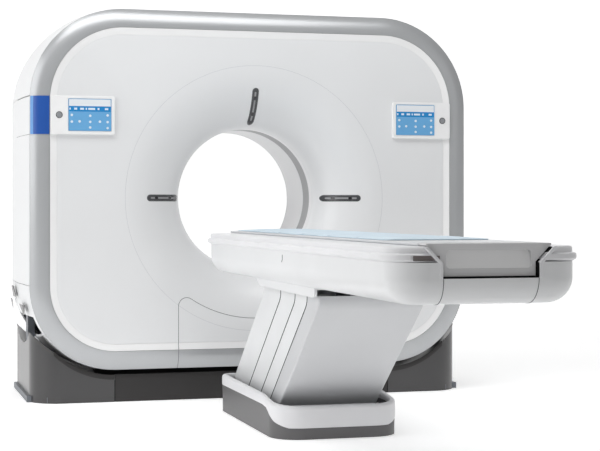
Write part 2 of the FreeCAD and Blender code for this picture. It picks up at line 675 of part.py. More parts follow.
rail_y = PED_HALF_D - STRIP_T
pedestal = pedestal.cut([
    core, hump,
    box(POST_X1 - 4, POST_X2 + 4, -hole_y, hole_y, 0, PED_TIP_Z),
    box(PED_X1 - 1, PED_X1 + PED_T + 1, -rail_y - 1, rail_y + 1, 0, FLOOR_H + 1),
])
add("pedestal_cover_right", pedestal)
add("pedestal_cover_left", mirror_x(PARTS["pedestal_cover_right"]))

strip = plate_yz([(-PED_HALF_D, 0), (-PED_HALF_D, STRIP_Z - 26), (-PED_HALF_D + 5, STRIP_Z), (-PED_HALF_D + STRIP_T, STRIP_Z), (-PED_HALF_D + STRIP_T, 0)], -PED_X1 + 0.8, PED_X1 - 0.8)
add("base_front_cover", strip)
add("base_rear_cover", mirror_y(strip))

# welded floor frame: two cross rails, side rails under the posts, cross ties
rail_end = PED_W - PED_CORNER_R
anchor_y = rail_y - 0.5 * RAIL_W
ffr = box(-rail_end, rail_end, rail_y - RAIL_W, rail_y, 0, FLOOR_H)
ffr = ffr.fuse(mirror_y(ffr))
side_y = PED_HALF_D - PED_CORNER_R
tab_y = PED_HALF_D - PED_T
for side in (-1, 1):
    for a, b, c in ((POST_X1 - 60, PED_W - PED_T, side_y), (PED_X1 + PED_T, PED_X1 + PED_T + 60, rail_y - 10)):
        a, b = sorted((side * a, side * b))
        ffr = ffr.fuse(box(a, b, -c, c, 0, FLOOR_H))
    # pads against the pedestal covers
    a, b = sorted((side * (ANCHOR_X - 80), side * (ANCHOR_X - 20)))
    ffr = ffr.fuse(box(a, b, -tab_y, tab_y, 0, FLOOR_H).cut(box(a, b, -rail_y + 1, rail_y - 1, -1, FLOOR_H + 1)))
ffr = ffr.fuse(box(-180, 180, -rail_y + 10, rail_y - 10, 0, FLOOR_H))
ffr = ffr.cut([cyl(ANCHOR_R, (u, v, -1), (0, 0, 1), FLOOR_H + 2) for u in (-ANCHOR_X, ANCHOR_X) for v in (-anchor_y, anchor_y)])
ffr = ffr.cut(cyl(CABLE_R, (CABLE_X, anchor_y, -1), (0, 0, 1), FLOOR_H + 2))
add("gantry_floor_frame", ffr)

# trunnion posts
post_side = [(POST_FOOT, FLOOR_H), (POST_FOOT, FLOOR_H + 40), (POST_HALF, POST_NECK_Z), (POST_HALF, 600), (POST_HEAD, 760), (POST_HEAD, ISO_Z)]
post = plate_yz(post_side + [(-y, z) for y, z in reversed(post_side)], POST_X1, POST_X2)
post = post.fuse(cyl(POST_HEAD, (POST_X1, 0, ISO_Z), (1, 0, 0), POST_X2 - POST_X1))
post = post.cut(cyl(TRUNNION_R + PIN_FIT, (POST_X1 - 1, 0, ISO_Z), (1, 0, 0), POST_X2 - POST_X1 + 2))
add("upright_right", post)
add("upright_left", mirror_x(PARTS["upright_right"]))

# ---------------------------------------------------------------- table base
lean = math.tan(math.radians(LEAN))
ARM_DY = -(PIVOT_Z2 - PIVOT_Z1) * lean
PIV = [PIVOT_Y]
for depth in SLABS[1:]:
    PIV.append(PIV[-1] - depth)
SLAB_BACK_Y = -890.0


def base_block(inset, z1, z2, grow=0.0):
    w = BASE_W - inset
    b = box(-w, w, BASE_Y1 + inset, BASE_Y2 - inset, z1, z2)
    b = b.makeFillet(BASE_R1 - inset, [e for e in b.Edges if upright(e) and e.Vertexes[0].Point.y < BASE_Y1 + inset + 1])
    return b.makeFillet(BASE_R2 - inset, [e for e in b.Edges if upright(e) and e.Vertexes[0].Point.y > BASE_Y2 - inset - 1])


# the line where the light tray meets the dark skirt, seen from the side
JOIN = [
    (BASE_Y1 - 10, SKIRT_FRONT_Z), (BASE_Y1 + 20, SKIRT_FRONT_Z), (BASE_Y1 + 75, SKIRT_FRONT_Z + 22),
    (BASE_Y1 + 150, SKIRT_Z - 8), (BASE_Y1 + 230, SKIRT_Z), (BASE_Y2 + 10, SKIRT_Z),
]
under = plate_yz(JOIN + [(BASE_Y2 + 10, -10), (BASE_Y1 - 10, -10)], -400, 400)
well = box(-WELL_W, WELL_W, BASE_Y1 + 16, BASE_Y2 - 10, -10, 400)
hollow = base_block(TRAY_T, -10, 400)
wall = base_block(0, 0, TRAY_Z + 20).cut(hollow)
skirt = wall.common(under)
add("table_base_skirt", skirt)
tray_low = wall.cut(under)
# rolled rim: the tray's top falls towards the front
rim_top = plate_yz([(BASE_Y1 - 10, TRAY_FRONT_Z), (BASE_Y1 + 60, TRAY_FRONT_Z + 6), (BASE_Y1 + 260, TRAY_Z), (BASE_Y2 + 10, TRAY_Z + 8), (BASE_Y2 + 10, 400), (BASE_Y1 - 10, 400)], -400, 400)
deck = base_block(TRAY_T, SKIRT_Z + 6, TRAY_Z + 20).cut(well)
tray = tray_low.fuse(deck).cut(rim_top)
add("table_base_tray", tray)

skirt_in = BASE_W - TRAY_T
tfr = box(-WELL_W - 20, WELL_W + 20, BASE_Y1 + 75, BASE_Y2 - 50, 0, TABLE_FLOOR_H)
tfr = tfr.fuse(box(-skirt_in, skirt_in, BASE_Y1 + 205, BASE_Y2 - 140, 0, TABLE_FLOOR_H))
tfr = tfr.cut([cyl(TABLE_ANCHOR_R, (a, b, -1), (0, 0, 1), TABLE_FLOOR_H + 2) for a in (-TABLE_ANCHOR_X, TABLE_ANCHOR_X) for b in (BASE_Y1 + 160, BASE_Y2 - 120)])


def ear_pair(y, z, z_root, x1):
    """Two plates with a rounded end at the pivot, rooted on a plate."""
    out = []
    for side in (-1, 1):
        a, b = sorted((side * x1, side * (x1 + EAR_T)))
        out.append(box(a, b, y - EAR_R, y + EAR_R, min(z, z_root), max(z, z_root)))
        out.append(cyl(EAR_R, (a, y, z), (1, 0, 0), b - a))
    return out


pins = []
pin_x = LANE_W - 35.0
for y in PIV:
    pins += ear_pair(y, PIVOT_Z1, TABLE_FLOOR_H, EAR_X1)
    pins.append(cyl(PIN_R, (-pin_x, y, PIVOT_Z1), (1, 0, 0), 2 * pin_x))
tfr = tfr.fuse(pins)
add("table_floor_frame", tfr)

# ---------------------------------------------------------------- column
LANES = [LANE_W - LANE_STEP * (3 - k) for k in range(4)]     # outer half widths of a to d
LUGS = [(140.0, 190.0), (122.0, 134.0), (60.0, 108.0), (40.0, 52.0)]
LUG_V = [60.0, 40.0, 40.0, 24.0]


def slab_line(y0, z):
    """Y of a slab's leaning face at height z, from its lower pivot's y."""
    return y0 - (min(z, KNEE_Z) - PIVOT_Z1) * lean


def slab(k):
    y0, depth = PIV[k], SLABS[k]
    top = SLAB_TOP_Z if k < 2 else SLAB_TOP_Z - SLAB_STEP
    w = LANES[k]
    first = k == 0
    back = depth if first else depth + LAP
    zt = [(slab_line(y0, SLAB_FOOT_Z), SLAB_FOOT_Z), (slab_line(y0, KNEE_Z), KNEE_Z), (slab_line(y0, KNEE_Z), top)]
    if first:
        y_b = SLAB_BACK_Y
        z_b = PIVOT_Z1 + (y0 + back - y_b) / lean
        pts = zt + [(slab_line(y0, KNEE_Z) + back, 612), (slab_line(y0, KNEE_Z) + back, KNEE_Z), (y_b, z_b), (y_b, SLAB_FOOT_Z)]
    else:
        pts = zt + [(slab_line(y0, KNEE_Z) + back, top - 12), (slab_line(y0, KNEE_Z) + back, KNEE_Z), (slab_line(y0, SLAB_FOOT_Z) + back, SLAB_FOOT_Z)]
    block = plate_yz(pts, -w, w)
    # hollow it from the gantry side, leaving the web at the foot side
    h = WEB_T / math.cos(math.radians(LEAN))
    inner = [(y + h, z) for y, z in zt]
    inner[0] = (slab_line(y0, SLAB_FOOT_Z - 50) + h, SLAB_FOOT_Z - 50)
    inner[-1] = (inner[-1][0], top + 50)
    if first:
        y_b = SLAB_BACK_Y - SLAB_T
        b2 = back - SLAB_T / math.cos(math.radians(LEAN))
        z_b = PIVOT_Z1 + (y0 + b2 - y_b) / lean
        inner += [(slab_line(y0, KNEE_Z) + b2, top + 50), (slab_line(y0, KNEE_Z) + b2, KNEE_Z), (y_b, z_b), (y_b, SLAB_FOOT_Z - 50)]
    else:
        inner += [(slab_line(y0, KNEE_Z) + back + 60, top + 50), (slab_line(y0, KNEE_Z) + back + 60, KNEE_Z), (slab_line(y0, SLAB_FOOT_Z - 50) + back + 60, SLAB_FOOT_Z - 50)]
    cover_k = block.cut(plate_yz(inner, -w + SLAB_T, w - SLAB_T))
    # clear the lower pivots
    cut = [box(-w + SLAB_T, w - SLAB_T, y0 - 60, y0 + 40, 0, PIVOT_Z1 + 18)]
    return cover_k.cut(cut)


def lug_pair(k):
    """Two arms from the lower to the upper pivot of slab k, behind its web."""
    y0 = PIV[k]
    y1_ = y0 + ARM_DY
    v = LUG_V[k]
    ca, sa = math.cos(math.radians(LEAN)), math.sin(math.radians(LEAN))
    x1, x2 = LUGS[k]
    out = []
    # corners: along the web's back face and v behind it
    n = (ca, sa)
    t = WEB_T
    a0 = (y0 + n[0] * t, PIVOT_Z1 + n[1] * t)
    a1 = (y1_ + n[0] * t, PIVOT_Z2 + n[1] * t)
    pts = [a0, a1, (a1[0] + n[0] * (v - t), a1[1] + n[1] * (v - t)), (a0[0] + n[0] * (v - t), a0[1] + n[1] * (v - t))]
    for side in (-1, 1):
        a, b = sorted((side * x1, side * x2))
        s = plate_yz(pts, a, b)
        s = s.fuse([cyl(EAR_R, (a, y0, PIVOT_Z1), (1, 0, 0), b - a), cyl(EAR_R, (a, y1_, PIVOT_Z2), (1, 0, 0), b - a)])
        out.append(s)
    return out


HOLE = PIN_R + PIN_FIT
OPEN_HOLE = PIN_R + PIN_OPEN


def drill(k, s):
    upper = HOLE if k == 0 else OPEN_HOLE
    return s.cut([cyl(HOLE, (-300, PIV[k], PIVOT_Z1), (1, 0, 0), 600), cyl(upper, (-300, PIV[k] + ARM_DY, PIVOT_Z2), (1, 0, 0), 600)])


for k, name in enumerate("abcd"):
    cover_k = slab(k)
    arms = lug_pair(k)
    if k in (0, 2):
        y0 = PIV[k]
        # cross tube at mid-length
        ym, zm = y0 + ARM_DY * 0.45, PIVOT_Z1 + (PIVOT_Z2 - PIVOT_Z1) * 0.45
        ca, sa = math.cos(math.radians(LEAN)), math.sin(math.radians(LEAN))
        off = 0.55 * LUG_V[k]
        tube_k = cyl(0.3 * LUG_V[k], (-LUGS[k][1] + 2, ym + ca * off, zm + sa * off), (1, 0, 0), 2 * LUGS[k][1] - 4)
        arm = arms[0].fuse([arms[1], tube_k])
        arm = drill(k, arm)
        add("lift_arm_" + name, arm)
        cover_k = cover_k.cut(PARTS["lift_arm_" + name])
    else:
        cover_k = drill(k, cover_k.fuse(arms))
    add("column_cover_" + name, cover_k)

# ---------------------------------------------------------------- table top
top_y = [y + ARM_DY for y in PIV]
FLANGE_Z = HULL_Z2 - FLANGE_T
TRACK_W = CRADLE_W2 + 4.0
track_y = HULL_Y1 + CRADLE_TRAVEL + HANDLE_L + 20
frame_y1, frame_y2 = HULL_Y1 + 126.0, HULL_Y2 - 100.0
tf = box(-BEAM_X2, BEAM_X2, frame_y1, frame_y2, FLANGE_Z, HULL_Z2).cut(box(-TRACK_W - 2, TRACK_W + 2, HULL_Y1, track_y, 0, HULL_Z2 + 5))
for side in (-1, 1):
    a, b = sorted((side * BEAM_X1, side * BEAM_X2))
    tf = tf.fuse(box(a, b, frame_y1, frame_y2, BEAM_Z, FLANGE_Z + 1))
tf = tf.fuse(box(-BEAM_X1 - 20, BEAM_X1 + 20, frame_y1 + 300, frame_y1 + 440, BEAM_Z - 10, HANDLE_Z1 - 7))
ears = []
for y in top_y:
    ears += ear_pair(y, PIVOT_Z2, FLANGE_Z + 1, EAR_X2)
    ears.append(cyl(PIN_R, (-EAR_X2 - EAR_T + 1, y, PIVOT_Z2), (1, 0, 0), 2 * (EAR_X2 + EAR_T - 1)))
tf = tf.fuse(ears)
add("table_frame", tf)


def cradle_side(z):
    """Half width of the cradle at height z, above the handle's neck."""
    return CRADLE_W2 + (z - HANDLE_NECK) / (CRADLE_Z - CRADLE_EDGE - HANDLE_NECK) * (CRADLE_W1 - CRADLE_W2)


def rr_wire(w, y1_, y2_, r1, r2, z):
    """Rounded rectangle, radius r1 at the foot end and r2 at the head end."""
    e = []
    q = math.sqrt(0.5)
    P = lambda x, y: (x, y, z)
    e.append(line(P(-w + r1, y1_), P(w - r1, y1_)))
    e.append(arc(P(w - r1, y1_), P(w - r1 + r1 * q, y1_ + r1 - r1 * q), P(w, y1_ + r1)))
    e.append(line(P(w, y1_ + r1), P(w, y2_ - r2)))
    e.append(arc(P(w, y2_ - r2), P(w - r2 + r2 * q, y2_ - r2 + r2 * q), P(w - r2, y2_)))
    e.append(line(P(w - r2, y2_), P(-w + r2, y2_)))
    e.append(arc(P(-w + r2, y2_), P(-w + r2 - r2 * q, y2_ - r2 + r2 * q), P(-w, y2_ - r2)))
    e.append(line(P(-w, y2_ - r2), P(-w, y1_ + r1)))
    e.append(arc(P(-w, y1_ + r1), P(-w + r1 - r1 * q, y1_ + r1 - r1 * q), P(-w + r1, y1_)))
    return Part.Wire(e)


hull = Part.Face(rr_wire(HULL_W, HULL_Y1, HULL_Y2, HULL_CORNER, 90, HULL_Z1)).extrude(V(0, 0, HULL_Z2 - HULL_Z1))
hull = hull.makeFillet(HULL_BELLY, [e for e in hull.Edges if all(abs(v.Point.z - HULL_Z1) < 1e-6 for v in e.Vertexes)])
inner = Part.Face(rr_wire(HULL_W - HULL_T, HULL_Y1 + HULL_T, HULL_Y2 - HULL_T, HULL_CORNER - HULL_T, 84, HULL_Z1 + HULL_T)).extrude(V(0, 0, HULL_Z2 - HULL_Z1))
inner = inner.makeFillet(HULL_BELLY - HULL_T, [e for e in inner.Edges if all(abs(v.Point.z - HULL_Z1 - HULL_T) < 1e-6 for v in e.Vertexes)])
WELL_Y1, WELL_Y2 = top_y[3] - EAR_R - 8, -1080.0
hull = hull.cut([inner, rounded(-WELL_W, WELL_W, WELL_Y1, WELL_Y2, 600, 700, 30)])
slot_w = CRADLE_W2 + SLIDE_GAP
slot_top = cradle_side(HULL_Z2) + SLIDE_GAP
slot_y = HULL_Y1 + HANDLE_L + 10
hull = hull.cut([
    box(-slot_w, slot_w, HULL_Y1 - 10, slot_y, HANDLE_Z1 - SLIDE_GAP, HULL_Z2 + 10),
    box(-slot_top, slot_top, HULL_Y1 - 10, slot_y, HANDLE_NECK - SLIDE_GAP, HULL_Z2 + 10),
])
# lower end panel with curved side seams
pz = HANDLE_Z1 - SLIDE_GAP
endp = wire_face([
    line((-slot_w, 0, pz), (slot_w, 0, pz)),
    arc((slot_w, 0, pz), (slot_w - 6, 0, 0.5 * (pz + HULL_Z1)), (slot_w - 24, 0, HULL_Z1)),
    line((slot_w - 24, 0, HULL_Z1), (slot_w - 24, 0, HULL_Z1 - 20)),
    line((slot_w - 24, 0, HULL_Z1 - 20), (-slot_w + 24, 0, HULL_Z1 - 20)),
    line((-slot_w + 24, 0, HULL_Z1 - 20), (-slot_w + 24, 0, HULL_Z1)),
    arc((-slot_w + 24, 0, HULL_Z1), (-slot_w + 6, 0, 0.5 * (pz + HULL_Z1)), (-slot_w, 0, pz)),
]).extrude(V(0, 110, 0))
endp.translate(V(0, HULL_Y1 - 10, 0))
end_panel = hull.common(endp)
hull = hull.cut(endp)
end_panel = end_panel.common(box(-slot_w + FIT, slot_w - FIT, -BIG, BIG, 0, BIG))
add("table_hull", hull)
add("table_end_panel", end_panel)

rim = Part.makeLoft([rr_wire(RIM_LOW, HULL_Y1 + 12, HULL_Y2 - 8, 112, 82, HULL_Z2), rr_wire(RIM_RIDGE, HULL_Y1, HULL_Y2 + 4, 124, 94, RIM_RIDGE_Z)], True, True)
rim = rim.fuse(Part.makeLoft([rr_wire(RIM_RIDGE, HULL_Y1, HULL_Y2 + 4, 124, 94, RIM_RIDGE_Z), rr_wire(RIM_TOP, HULL_Y1 + 22, HULL_Y2 - 18, 102, 72, RIM_Z)], True, True))
floor_z = HULL_Z2 + RIM_FLOOR
over_z = CRADLE_Z + 5
channel = plate_xz([(-cradle_side(floor_z) - SLIDE_GAP, floor_z), (cradle_side(floor_z) + SLIDE_GAP, floor_z), (cradle_side(over_z) + SLIDE_GAP, over_z), (-cradle_side(over_z) - SLIDE_GAP, over_z)], HULL_Y1 - 20, HULL_Y2 + 20)
groove_w = cradle_side(floor_z) + SLIDE_GAP
groove = box(-groove_w, groove_w, HULL_Y1 - 20, track_y, HULL_Z2 - 10, RIM_Z + 20)
rim = rim.cut([channel, groove])
add("table_rim", rim)

cz0 = floor_z + RUN
edge_z = CRADLE_Z - CRADLE_EDGE
cradle = plate_xz([(-cradle_side(cz0), cz0), (cradle_side(cz0), cz0), (CRADLE_W1, edge_z), (CRADLE_W1, CRADLE_Z), (-CRADLE_W1, CRADLE_Z), (-CRADLE_W1, edge_z)], HULL_Y1 + HANDLE_L, CRADLE_Y2)
cradle = fillet(cradle, 60, lambda e: len(e.Vertexes) == 2 and upright(e) and abs(e.Vertexes[0].Point.y - CRADLE_Y2) < 1e-6)
add("cradle", cradle)

handle = plate_xz([(-CRADLE_W2, HANDLE_Z1), (CRADLE_W2, HANDLE_Z1), (CRADLE_W2, HANDLE_NECK), (CRADLE_W1, edge_z), (CRADLE_W1, CRADLE_Z), (-CRADLE_W1, CRADLE_Z), (-CRADLE_W1, edge_z), (-CRADLE_W2, HANDLE_NECK)], HULL_Y1, HULL_Y1 + HANDLE_L)
grip = fillet(box(-GRIP_W, GRIP_W, HULL_Y1 - 1, HULL_Y1 + 62, GRIP_Z1, GRIP_Z2), 14, along_y)
handle = handle.cut(grip)
add("cradle_handle", handle)

mat = wire_face([
    line((-MAT_W, 0, CRADLE_Z), (MAT_W, 0, CRADLE_Z)),
    line((MAT_W, 0, CRADLE_Z), (MAT_W, 0, CRADLE_Z + 0.6 * MAT_T)),
    arc((MAT_W, 0, CRADLE_Z + 0.6 * MAT_T), (0, 0, CRADLE_Z + MAT_T), (-MAT_W, 0, CRADLE_Z + 0.6 * MAT_T)),
    line((-MAT_W, 0, CRADLE_Z + 0.6 * MAT_T), (-MAT_W, 0, CRADLE_Z)),
]).extrude(V(0, MAT_Y2 - MAT_Y1, 0))
mat.translate(V(0, MAT_Y1, 0))
mat = fillet(mat, 40, upright)
add("table_mat", mat)

# ---------------------------------------------------------------- write
os.makedirs("parts", exist_ok=True)
for name, s in PARTS.items():
    if not s.isValid():
        print("INVALID", name)
    s.exportStep("parts/" + name + ".step")
print(len(PARTS), "parts")
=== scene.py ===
"""Finished surfaces of a CT scanner: ring gantry, pedestals, lifting column and patient table."""

import cmath
import math

import bmesh
import bpy
from bpy.props import FloatProperty, FloatVectorProperty, IntProperty, PointerProperty
from mathutils import Matrix, Vector


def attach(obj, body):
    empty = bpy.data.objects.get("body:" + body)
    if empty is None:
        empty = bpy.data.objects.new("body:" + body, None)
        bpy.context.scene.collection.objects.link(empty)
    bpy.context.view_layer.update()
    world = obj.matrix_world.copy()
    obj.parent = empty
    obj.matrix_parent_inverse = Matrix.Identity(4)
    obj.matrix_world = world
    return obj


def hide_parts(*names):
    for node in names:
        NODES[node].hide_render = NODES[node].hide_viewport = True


bl_info = {
    "name": "CT scanner surfaces",
    "version": (1, 0, 0),
    "blender": (4, 5, 0),
    "location": "View3D > Sidebar > CT scanner",
    "description": "Builds the finished surfaces of a CT scanner round its CAD frame",
    "category": "Object",
}

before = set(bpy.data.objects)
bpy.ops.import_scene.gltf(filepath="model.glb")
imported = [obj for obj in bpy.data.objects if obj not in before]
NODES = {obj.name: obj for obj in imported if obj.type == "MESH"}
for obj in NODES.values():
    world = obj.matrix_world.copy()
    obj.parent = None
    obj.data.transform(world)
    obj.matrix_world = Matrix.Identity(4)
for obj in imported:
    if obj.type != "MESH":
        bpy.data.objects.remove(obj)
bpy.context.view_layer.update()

# ------------------------------------------------------------ sizes, in millimetres
ISO_Z = 1015.0
BORE_R = 360.0
Y0 = -484.0                      # ridge of the front face
RIDGE_W = 1044.0
RIDGE_TOP = 1861.0
RIDGE_FOOT = 255.0
BEZEL_W = 94.0
BEZEL_DROP = 37.0
BACK = -440.0                    # seat between bezel and shells
RING_W = 36.0
RING_FALL = 7.0
FACE_Y = -479.0
FUNNEL_R = 672.0
FUNNEL_DEPTH = 244.0
THROAT_Y = FACE_Y + FUNNEL_DEPTH
WALL = 8.0
BULGE = 25.0
STRIP_W = 47.0
WINDOW_W = 117.0
SEAM_UP = 1517.0
SEAM_DOWN = 583.0
LOW_X, LOW_Z, LOW_R = 716, 583, 328      # lower corners of the ridge, seen from the front
TOP_X, TOP_Z, TOP_R = 673, 1490, 371     # its upper corners


def corners(first, last):
    """Centre, radius and start angle of the four rounded corners of a symmetrical outline."""
    (x1, z1, r1), (x2, z2, r2) = first, last
    return [(x1, z1, r1, 270), (x2, z2, r2, 0), (-x2, z2, r2, 90), (-x1, z1, r1, 180)]


HOUSING = corners((LOW_X, LOW_Z, LOW_R), (TOP_X, TOP_Z, TOP_R))
TABLE_BASE = corners((152, -1777, 128), (220, -922, 60))
HULL = corners((206, -3406, 120), (236, -890, 90))
RIM = corners((218, -3402, 124), (248, -890, 94))
HULL_LOW, HULL_TOP = 657.0, 795.0
BELLY = 85.0
SLOT_W, SLOT_Z = 165.5, 743.5    # slot of the handle in the hull
SLAB_W = 219.0                   # half width of the foot-most column slab
LEAN_ANGLE = math.radians(52.2)  # of the column, from upright
LEAN = math.tan(LEAN_ANGLE)
PIVOT_LOW, PIVOT_HIGH = 90.0, 584.0
PIVOTS = [-1131.0, -1369.0, -1557.0, -1688.0]
HULL_Y1 = -3526.0
HANDLE_Y = HULL_Y1 + 20          # the handle lies back in its slot
PANEL_X1, PANEL_X2, SCREEN_X1, SCREEN_X2 = 726, 1041, 744, 954
PANEL_LOW, PANEL_TOP = ISO_Z + 311, ISO_Z + 500
BUTTON_X, BUTTON_Z = 999.0, ISO_Z + 406


# ------------------------------------------------------------ small tools
def at(x, y, z):
    return Vector((x, y, z)) * 0.001


def srgb(r, g, b):
    """Linear colour from an 8-bit one."""
    return tuple((c / 255 / 12.92 if c < 11 else ((c / 255 + 0.055) / 1.055) ** 2.4) for c in (r, g, b))


def only(geom, kind):
    return [g for g in geom if isinstance(g, kind)]


def grow(bm, edges, move):
    """Extrude a chain of edges and move the new one."""
    out = bmesh.ops.extrude_edge_only(bm, edges=edges)["geom"]
    verts = only(out, bmesh.types.BMVert)
    bmesh.ops.translate(bm, verts=verts, vec=move)
    fresh = set(verts)
    return verts, [e for e in only(out, bmesh.types.BMEdge) if e.verts[0] in fresh and e.verts[1] in fresh]


def chain(bm, points, closed):
    verts = [bm.verts.new(p) for p in points]
    pairs = list(zip(verts, verts[1:])) + ([(verts[-1], verts[0])] if closed else [])
    return verts, [bm.edges.new(p) for p in pairs]


def sweep_round(bm, profile, corners, plan=False, closed=True, steps=16, runs=1):
    """Take a profile of (outwards, depth) points round an outline of straights and rounded corners."""
    axis = Vector((0, 0, 1)) if plan else Vector((0, -1, 0))

    def put(u, w, depth):
        return at(u, w, depth) if plan else at(u, depth, w)

    cx, cz, r, a = corners[0]
    c, s = math.cos(math.radians(a)), math.sin(math.radians(a))
    verts, edges = chain(bm, [put(cx + (r + p) * c, cz + (r + p) * s, q) for p, q in profile], closed)
    for i, (cx, cz, r, a) in enumerate(corners):
        turned = bmesh.ops.spin(bm, geom=verts + edges, cent=put(cx, cz, 0), axis=axis,
                                angle=math.pi / 2, steps=steps, use_duplicate=False)["geom_last"]
        verts, edges = only(turned, bmesh.types.BMVert), only(turned, bmesh.types.BMEdge)
        nx, nz, nr, na = corners[(i + 1) % 4]
        c, s = math.cos(math.radians(na)), math.sin(math.radians(na))
        move = put(nx + c * nr - cx - c * r, nz + s * nr - cz - s * r, 0) / runs
        for _ in range(runs):
            verts, edges = grow(bm, edges, move)
    bmesh.ops.remove_doubles(bm, verts=bm.verts, dist=1e-5)


def full_turn(bm, points, closed, centre, axis, steps):
    """Turn a chain of points once round an axis."""
    verts, edges = chain(bm, points, closed)
    bmesh.ops.spin(bm, geom=verts + edges, cent=centre, axis=axis, angle=math.tau, steps=steps,
                   use_merge=True, use_duplicate=False)


def turn_ring(bm, profile, steps, closed=True):
    """Turn (radius, depth) points about the bore axis."""
    full_turn(bm, [at(r, y, ISO_Z) for r, y in profile], closed, at(0, 0, ISO_Z), (0, 1, 0), steps)
    bmesh.ops.remove_doubles(bm, verts=bm.verts, dist=1e-5)


def prism(bm, points, along):
    """A face through the points, extruded by a vector."""
    verts, edges = chain(bm, points, True)
    face = bmesh.ops.contextual_create(bm, geom=edges)["faces"][0]
    out = bmesh.ops.extrude_face_region(bm, geom=[face], use_keep_orig=True)["geom"]
    bmesh.ops.translate(bm, verts=only(out, bmesh.types.BMVert), vec=along)


def block(bm, x1, x2, y1, y2, z1, z2):
    cube = bmesh.ops.create_cube(bm, size=1.0)["verts"]
    bmesh.ops.scale(bm, verts=cube, vec=at(x2 - x1, y2 - y1, z2 - z1))
    bmesh.ops.translate(bm, verts=cube, vec=at(x1 + x2, y1 + y2, z1 + z2) / 2)
    return cube


def disc(bm, place, radius, far_radius, depth, segments, axis="X"):
    """A short cylinder or cone, turned from upright about x or y."""
    bmesh.ops.create_cone(bm, cap_ends=True, segments=segments, radius1=radius * 0.001,
                          radius2=far_radius * 0.001,
                          depth=depth * 0.001, matrix=Matrix.Translation(place)
                          @ Matrix.Rotation(math.pi / 2, 4, axis))


def soften(bm, edges, radius, segments):
    bmesh.ops.bevel(bm, geom=edges, offset=radius * 0.001, offset_type="OFFSET", affect="EDGES",
                    segments=segments, profile=0.5, material=-1, clamp_overlap=True)


def edges_along(bm, axis):
    """The edges that run along an axis."""
    found = []
    for e in bm.edges:
        d = e.verts[1].co - e.verts[0].co
        if d.length > 1e-6 and abs(abs(d[axis]) / d.length - 1) < 1e-4:
            found.append(e)
    return found


def keep_side(bm, point, normal):
    """Cut the mesh by a plane, drop what lies beyond it and close the cut."""
    out = bmesh.ops.bisect_plane(bm, geom=bm.verts[:] + bm.edges[:] + bm.faces[:], dist=1e-6,
                                 plane_co=point, plane_no=normal, clear_outer=True)
    cut = [e for e in only(out["geom_cut"], bmesh.types.BMEdge) if e.is_valid and len(e.link_faces) == 1]
    if cut:
        bmesh.ops.edgeloop_fill(bm, edges=cut)


def shade(bm, sharp):
    bmesh.ops.remove_doubles(bm, verts=bm.verts, dist=1e-5)
    bmesh.ops.recalc_face_normals(bm, faces=bm.faces)
    limit = math.radians(sharp)
    for f in bm.faces:
        f.smooth = True
    for e in bm.edges:
        e.smooth = len(e.link_faces) != 2 or e.calc_face_angle(0) < limit


def to_object(name, bm):
    mesh = bpy.data.meshes.new(name)
    bm.to_mesh(mesh)
    bm.free()
    obj = bpy.data.objects.new(name, mesh)
    bpy.context.scene.collection.objects.link(obj)
    return obj


def piece(name, bm, body, finish, stands_for=(), sharp=32, edge=0.0, towards=None, wall=0.0):
    """Make the mesh an object that rides on a body, with its finish."""
    shade(bm, sharp)
    if towards is not None:
        flat = sum((f.normal * f.calc_area() for f in bm.faces), Vector())
        if flat.dot(Vector(towards)) < 0:
            bmesh.ops.reverse_faces(bm, faces=bm.faces)
    obj = to_object(name, bm)
    dress(obj, finish)
    if wall:
        shell = obj.modifiers.new("Wall", "SOLIDIFY")
        shell.thickness = wall * 0.001
        shell.offset = -1
    if edge:
        round_edges(obj, edge)
    even = obj.modifiers.new("Even shading", "WEIGHTED_NORMAL")
    even.keep_sharp = True
    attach(obj, body)
    if stands_for:
        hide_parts(*stands_for)
    return obj


def round_edges(obj, width, segments=3):
    mod = obj.modifiers.new("Round edges", "BEVEL")
    mod.width = width * 0.001
    mod.segments = segments
    mod.limit_method = "ANGLE"
    mod.angle_limit = math.radians(32)
    mod.harden_normals = False


def dress(obj, finish):
    obj.data.materials.clear()
    obj.data.materials.append(FINISH[finish])


def carve(obj, cutters):
    """Cut other objects out of one and hand back what is left as a mesh."""
    for cutter in cutters:
        mod = obj.modifiers.new("Cut", "BOOLEAN")
        mod.object = cutter
        mod.operation = "DIFFERENCE"
        mod.solver = "EXACT"
    graph = bpy.context.evaluated_depsgraph_get()
    bm = bmesh.new()
    bm.from_mesh(bpy.data.meshes.new_from_object(obj.evaluated_get(graph)))
    for used in [obj] + cutters:
        bpy.data.objects.remove(used)
    bmesh.ops.dissolve_degenerate(bm, edges=bm.edges, dist=1e-5)
    return bm


def filled(build, *args, **options):
    """A new mesh made by one of the builders."""
    bm = bmesh.new()
    build(bm, *args, **options)
    return bm


def solid(name, build, *args, **options):
    bm = filled(build, *args, **options)
    bmesh.ops.remove_doubles(bm, verts=bm.verts, dist=1e-5)
    bmesh.ops.recalc_face_normals(bm, faces=bm.faces)
    return to_object(name, bm)


def groove(name, points, radius, body, finish, closed=False):
    """A thin dark line, half sunk in a surface, for a seam between two mouldings."""
    curve = bpy.data.curves.new(name, "CURVE")
    curve.dimensions = "3D"
    curve.bevel_depth = radius * 0.001
    curve.bevel_resolution = 2
    curve.use_fill_caps = not closed
    spline = curve.splines.new("POLY")
    spline.points.add(len(points) - 1)
    for p, q in zip(spline.points, points):
        p.co = (*at(*q), 1)
    spline.use_cyclic_u = closed
    made = bpy.data.objects.new(name, curve)
    mesh = bpy.data.meshes.new_from_object(made)
    bpy.data.objects.remove(made)
    bm = bmesh.new()
    bm.from_mesh(mesh)
    return piece(name, bm, body, finish, sharp=60)


def carried(node, finish):
    """Give a CAD node that stays in sight its finish."""
    dress(NODES[node], finish)


# ------------------------------------------------------------ shape of the front
BEZEL_R = (BEZEL_W ** 2 + BEZEL_DROP ** 2) / (2 * BEZEL_DROP)


